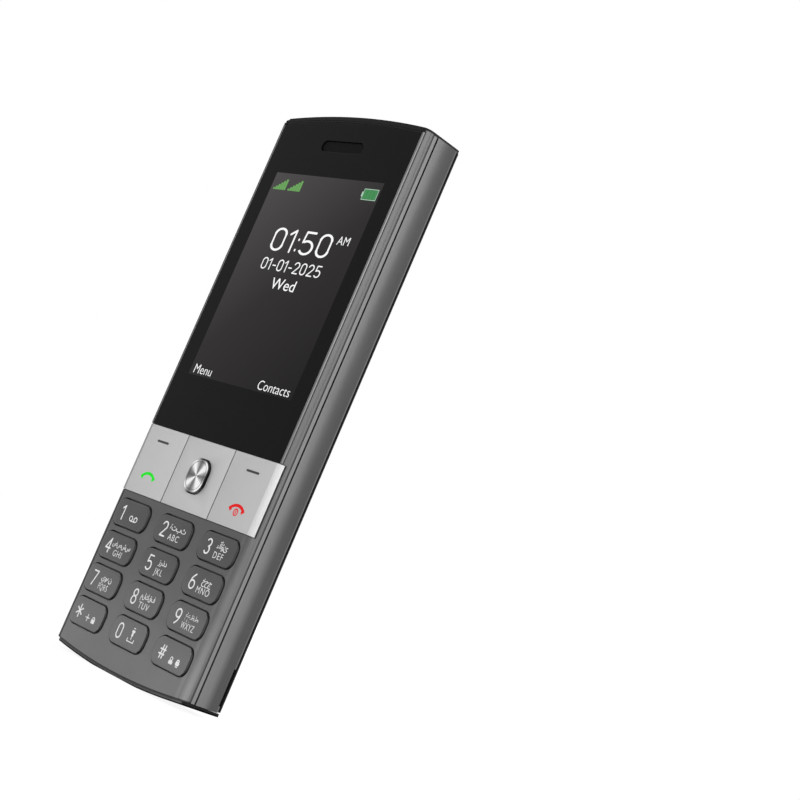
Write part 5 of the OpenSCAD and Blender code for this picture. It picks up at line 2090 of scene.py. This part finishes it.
@dataclass
class Studio:
    """White floor and surroundings, soft lamps and the camera.

    The camera has its place in millimetres and its turn in degrees. The floor and the lamps are
    in metres; a lamp is its name, place, size and power.
    """

    place: Point = (282.01, -214.05, 26.3)
    turn: Point = (98.68, -22.655, 44.905)
    lens: float = 75.36
    sensor: float = 36.0
    floor_half: float = 4.0
    floor_cells: int = 8
    floor_matt: Colour = (0.8, 0.8, 0.8)
    floor_shaded: Colour = (0.16, 0.16, 0.16)
    floor_glow: Spot = (0.9, 1.0)
    shadow_reach: Spot = (0.12, 0.5)
    ambient: float = 0.22
    near: float = 0.01
    lamps: tuple[tuple[str, Point, Spot, float], ...] = (
        ("side_lamp", (1.17, 0.27, 0.38), (0.7, 0.72), 15.0),
        ("front_lamp", (1.05, -0.85, 0.6), (1.4, 0.9), 19.5),
        ("back_lamp", (-0.6, 1.15, 0.45), (0.8, 0.8), 15.6))

    def seen(self, tree: NodeTree) -> bpy.types.NodeSocket:
        """Give 1 for rays that look at the background, straight or through gloss and glass.

        Args:
            tree: Tree of the floor or of the world.

        Returns:
            The socket of the result.
        """
        rays = tree.add("LightPath").outputs
        direct = tree.math("MAXIMUM", rays["Is Camera Ray"], rays["Is Glossy Ray"])
        return tree.math("MAXIMUM", direct, rays["Is Transmission Ray"])

    def floor(self) -> None:
        """Lay a pale floor that looks white and keeps a faint shadow."""
        bm = bmesh.new()
        bmesh.ops.create_grid(bm, x_segments=self.floor_cells, y_segments=self.floor_cells,
                              size=self.floor_half)
        mesh = bpy.data.meshes.new("studio_floor")
        bm.to_mesh(mesh)
        bm.free()
        mesh.materials.append(self.floor_material())
        floor = bpy.data.objects.new("studio_floor", mesh)
        bpy.context.collection.objects.link(floor)

    def floor_material(self) -> bpy.types.Material:
        """Make a matt floor that glows for rays that look at it, brightest away from the phone.

        Returns:
            The material.
        """
        made = bpy.data.materials.new("studio_white")
        made.use_nodes = True
        tree = NodeTree(made.node_tree)
        tree.nodes.clear()
        spot = tree.add("TexCoord").outputs["Object"]
        reach = tree.add("VectorMath", {0: spot}, operation="LENGTH").outputs["Value"]
        strength = tree.spread(reach, *self.floor_glow, *self.shadow_reach)
        glow = tree.add("Emission", {"Strength": strength}).outputs[0]
        matt, shaded = (tree.add("BsdfDiffuse", {"Color": colour}).outputs[0]
                        for colour in (self.floor_matt, self.floor_shaded))
        lit = tree.add("AddShader", {0: shaded, 1: glow}).outputs[0]
        mix = tree.add("MixShader", {0: self.seen(tree), 1: matt, 2: lit}).outputs[0]
        tree.add("OutputMaterial", {"Surface": mix})
        return made

    def world(self) -> None:
        """Surround the phone with even light, and with white where the background is seen."""
        world = bpy.data.worlds.new("studio_air")
        world.use_nodes = True
        tree = NodeTree(world.node_tree)
        back = tree.nodes["Background"].inputs
        tree.feed(back["Color"], (1.0, 1.0, 1.0))
        tree.feed(back["Strength"], tree.spread(self.seen(tree), self.ambient, 1.0))
        bpy.context.scene.world = world

    def lights(self) -> None:
        """Set soft lamps that face the middle of the phone."""
        middle = (CAD_BOX[0] + CAD_BOX[1]) / 2
        for name, place, size, power in self.lamps:
            lamp = bpy.data.lights.new(name, "AREA")
            lamp.shape, lamp.energy = "RECTANGLE", power
            lamp.size, lamp.size_y = size
            made = bpy.data.objects.new(name, lamp)
            made.location = place
            made.rotation_euler = (middle - Vector(place)).to_track_quat("-Z", "Y").to_euler()
            bpy.context.collection.objects.link(made)

    def camera(self) -> None:
        """Set the camera where the photograph was taken from."""
        view = bpy.data.cameras.new("photo_camera")
        view.lens, view.sensor_width = self.lens, self.sensor
        view.clip_start = self.near
        made = bpy.data.objects.new("photo_camera", view)
        made.location = [part * MM for part in self.place]
        made.rotation_euler = Euler([math.radians(angle) for angle in self.turn], "XYZ")
        bpy.context.collection.objects.link(made)
        bpy.context.scene.camera = made

    def build(self) -> None:
        """Set up the whole studio."""
        self.floor()
        self.world()
        self.lights()
        self.camera()
        bpy.context.scene.view_settings.view_transform = "Standard"


def main() -> None:
    """Dress the frame, build the fine pieces and set up the studio."""
    logging.basicConfig(level=logging.INFO, format="%(name)s: %(message)s")
    for part in (CarriedParts(), DisplayFront(), FunctionPanel(), Keypad(), CameraIsland(), Studio()):
        part.build()
        LOG.info("%s built", type(part).__name__)


if __name__ == "__main__":
    main()
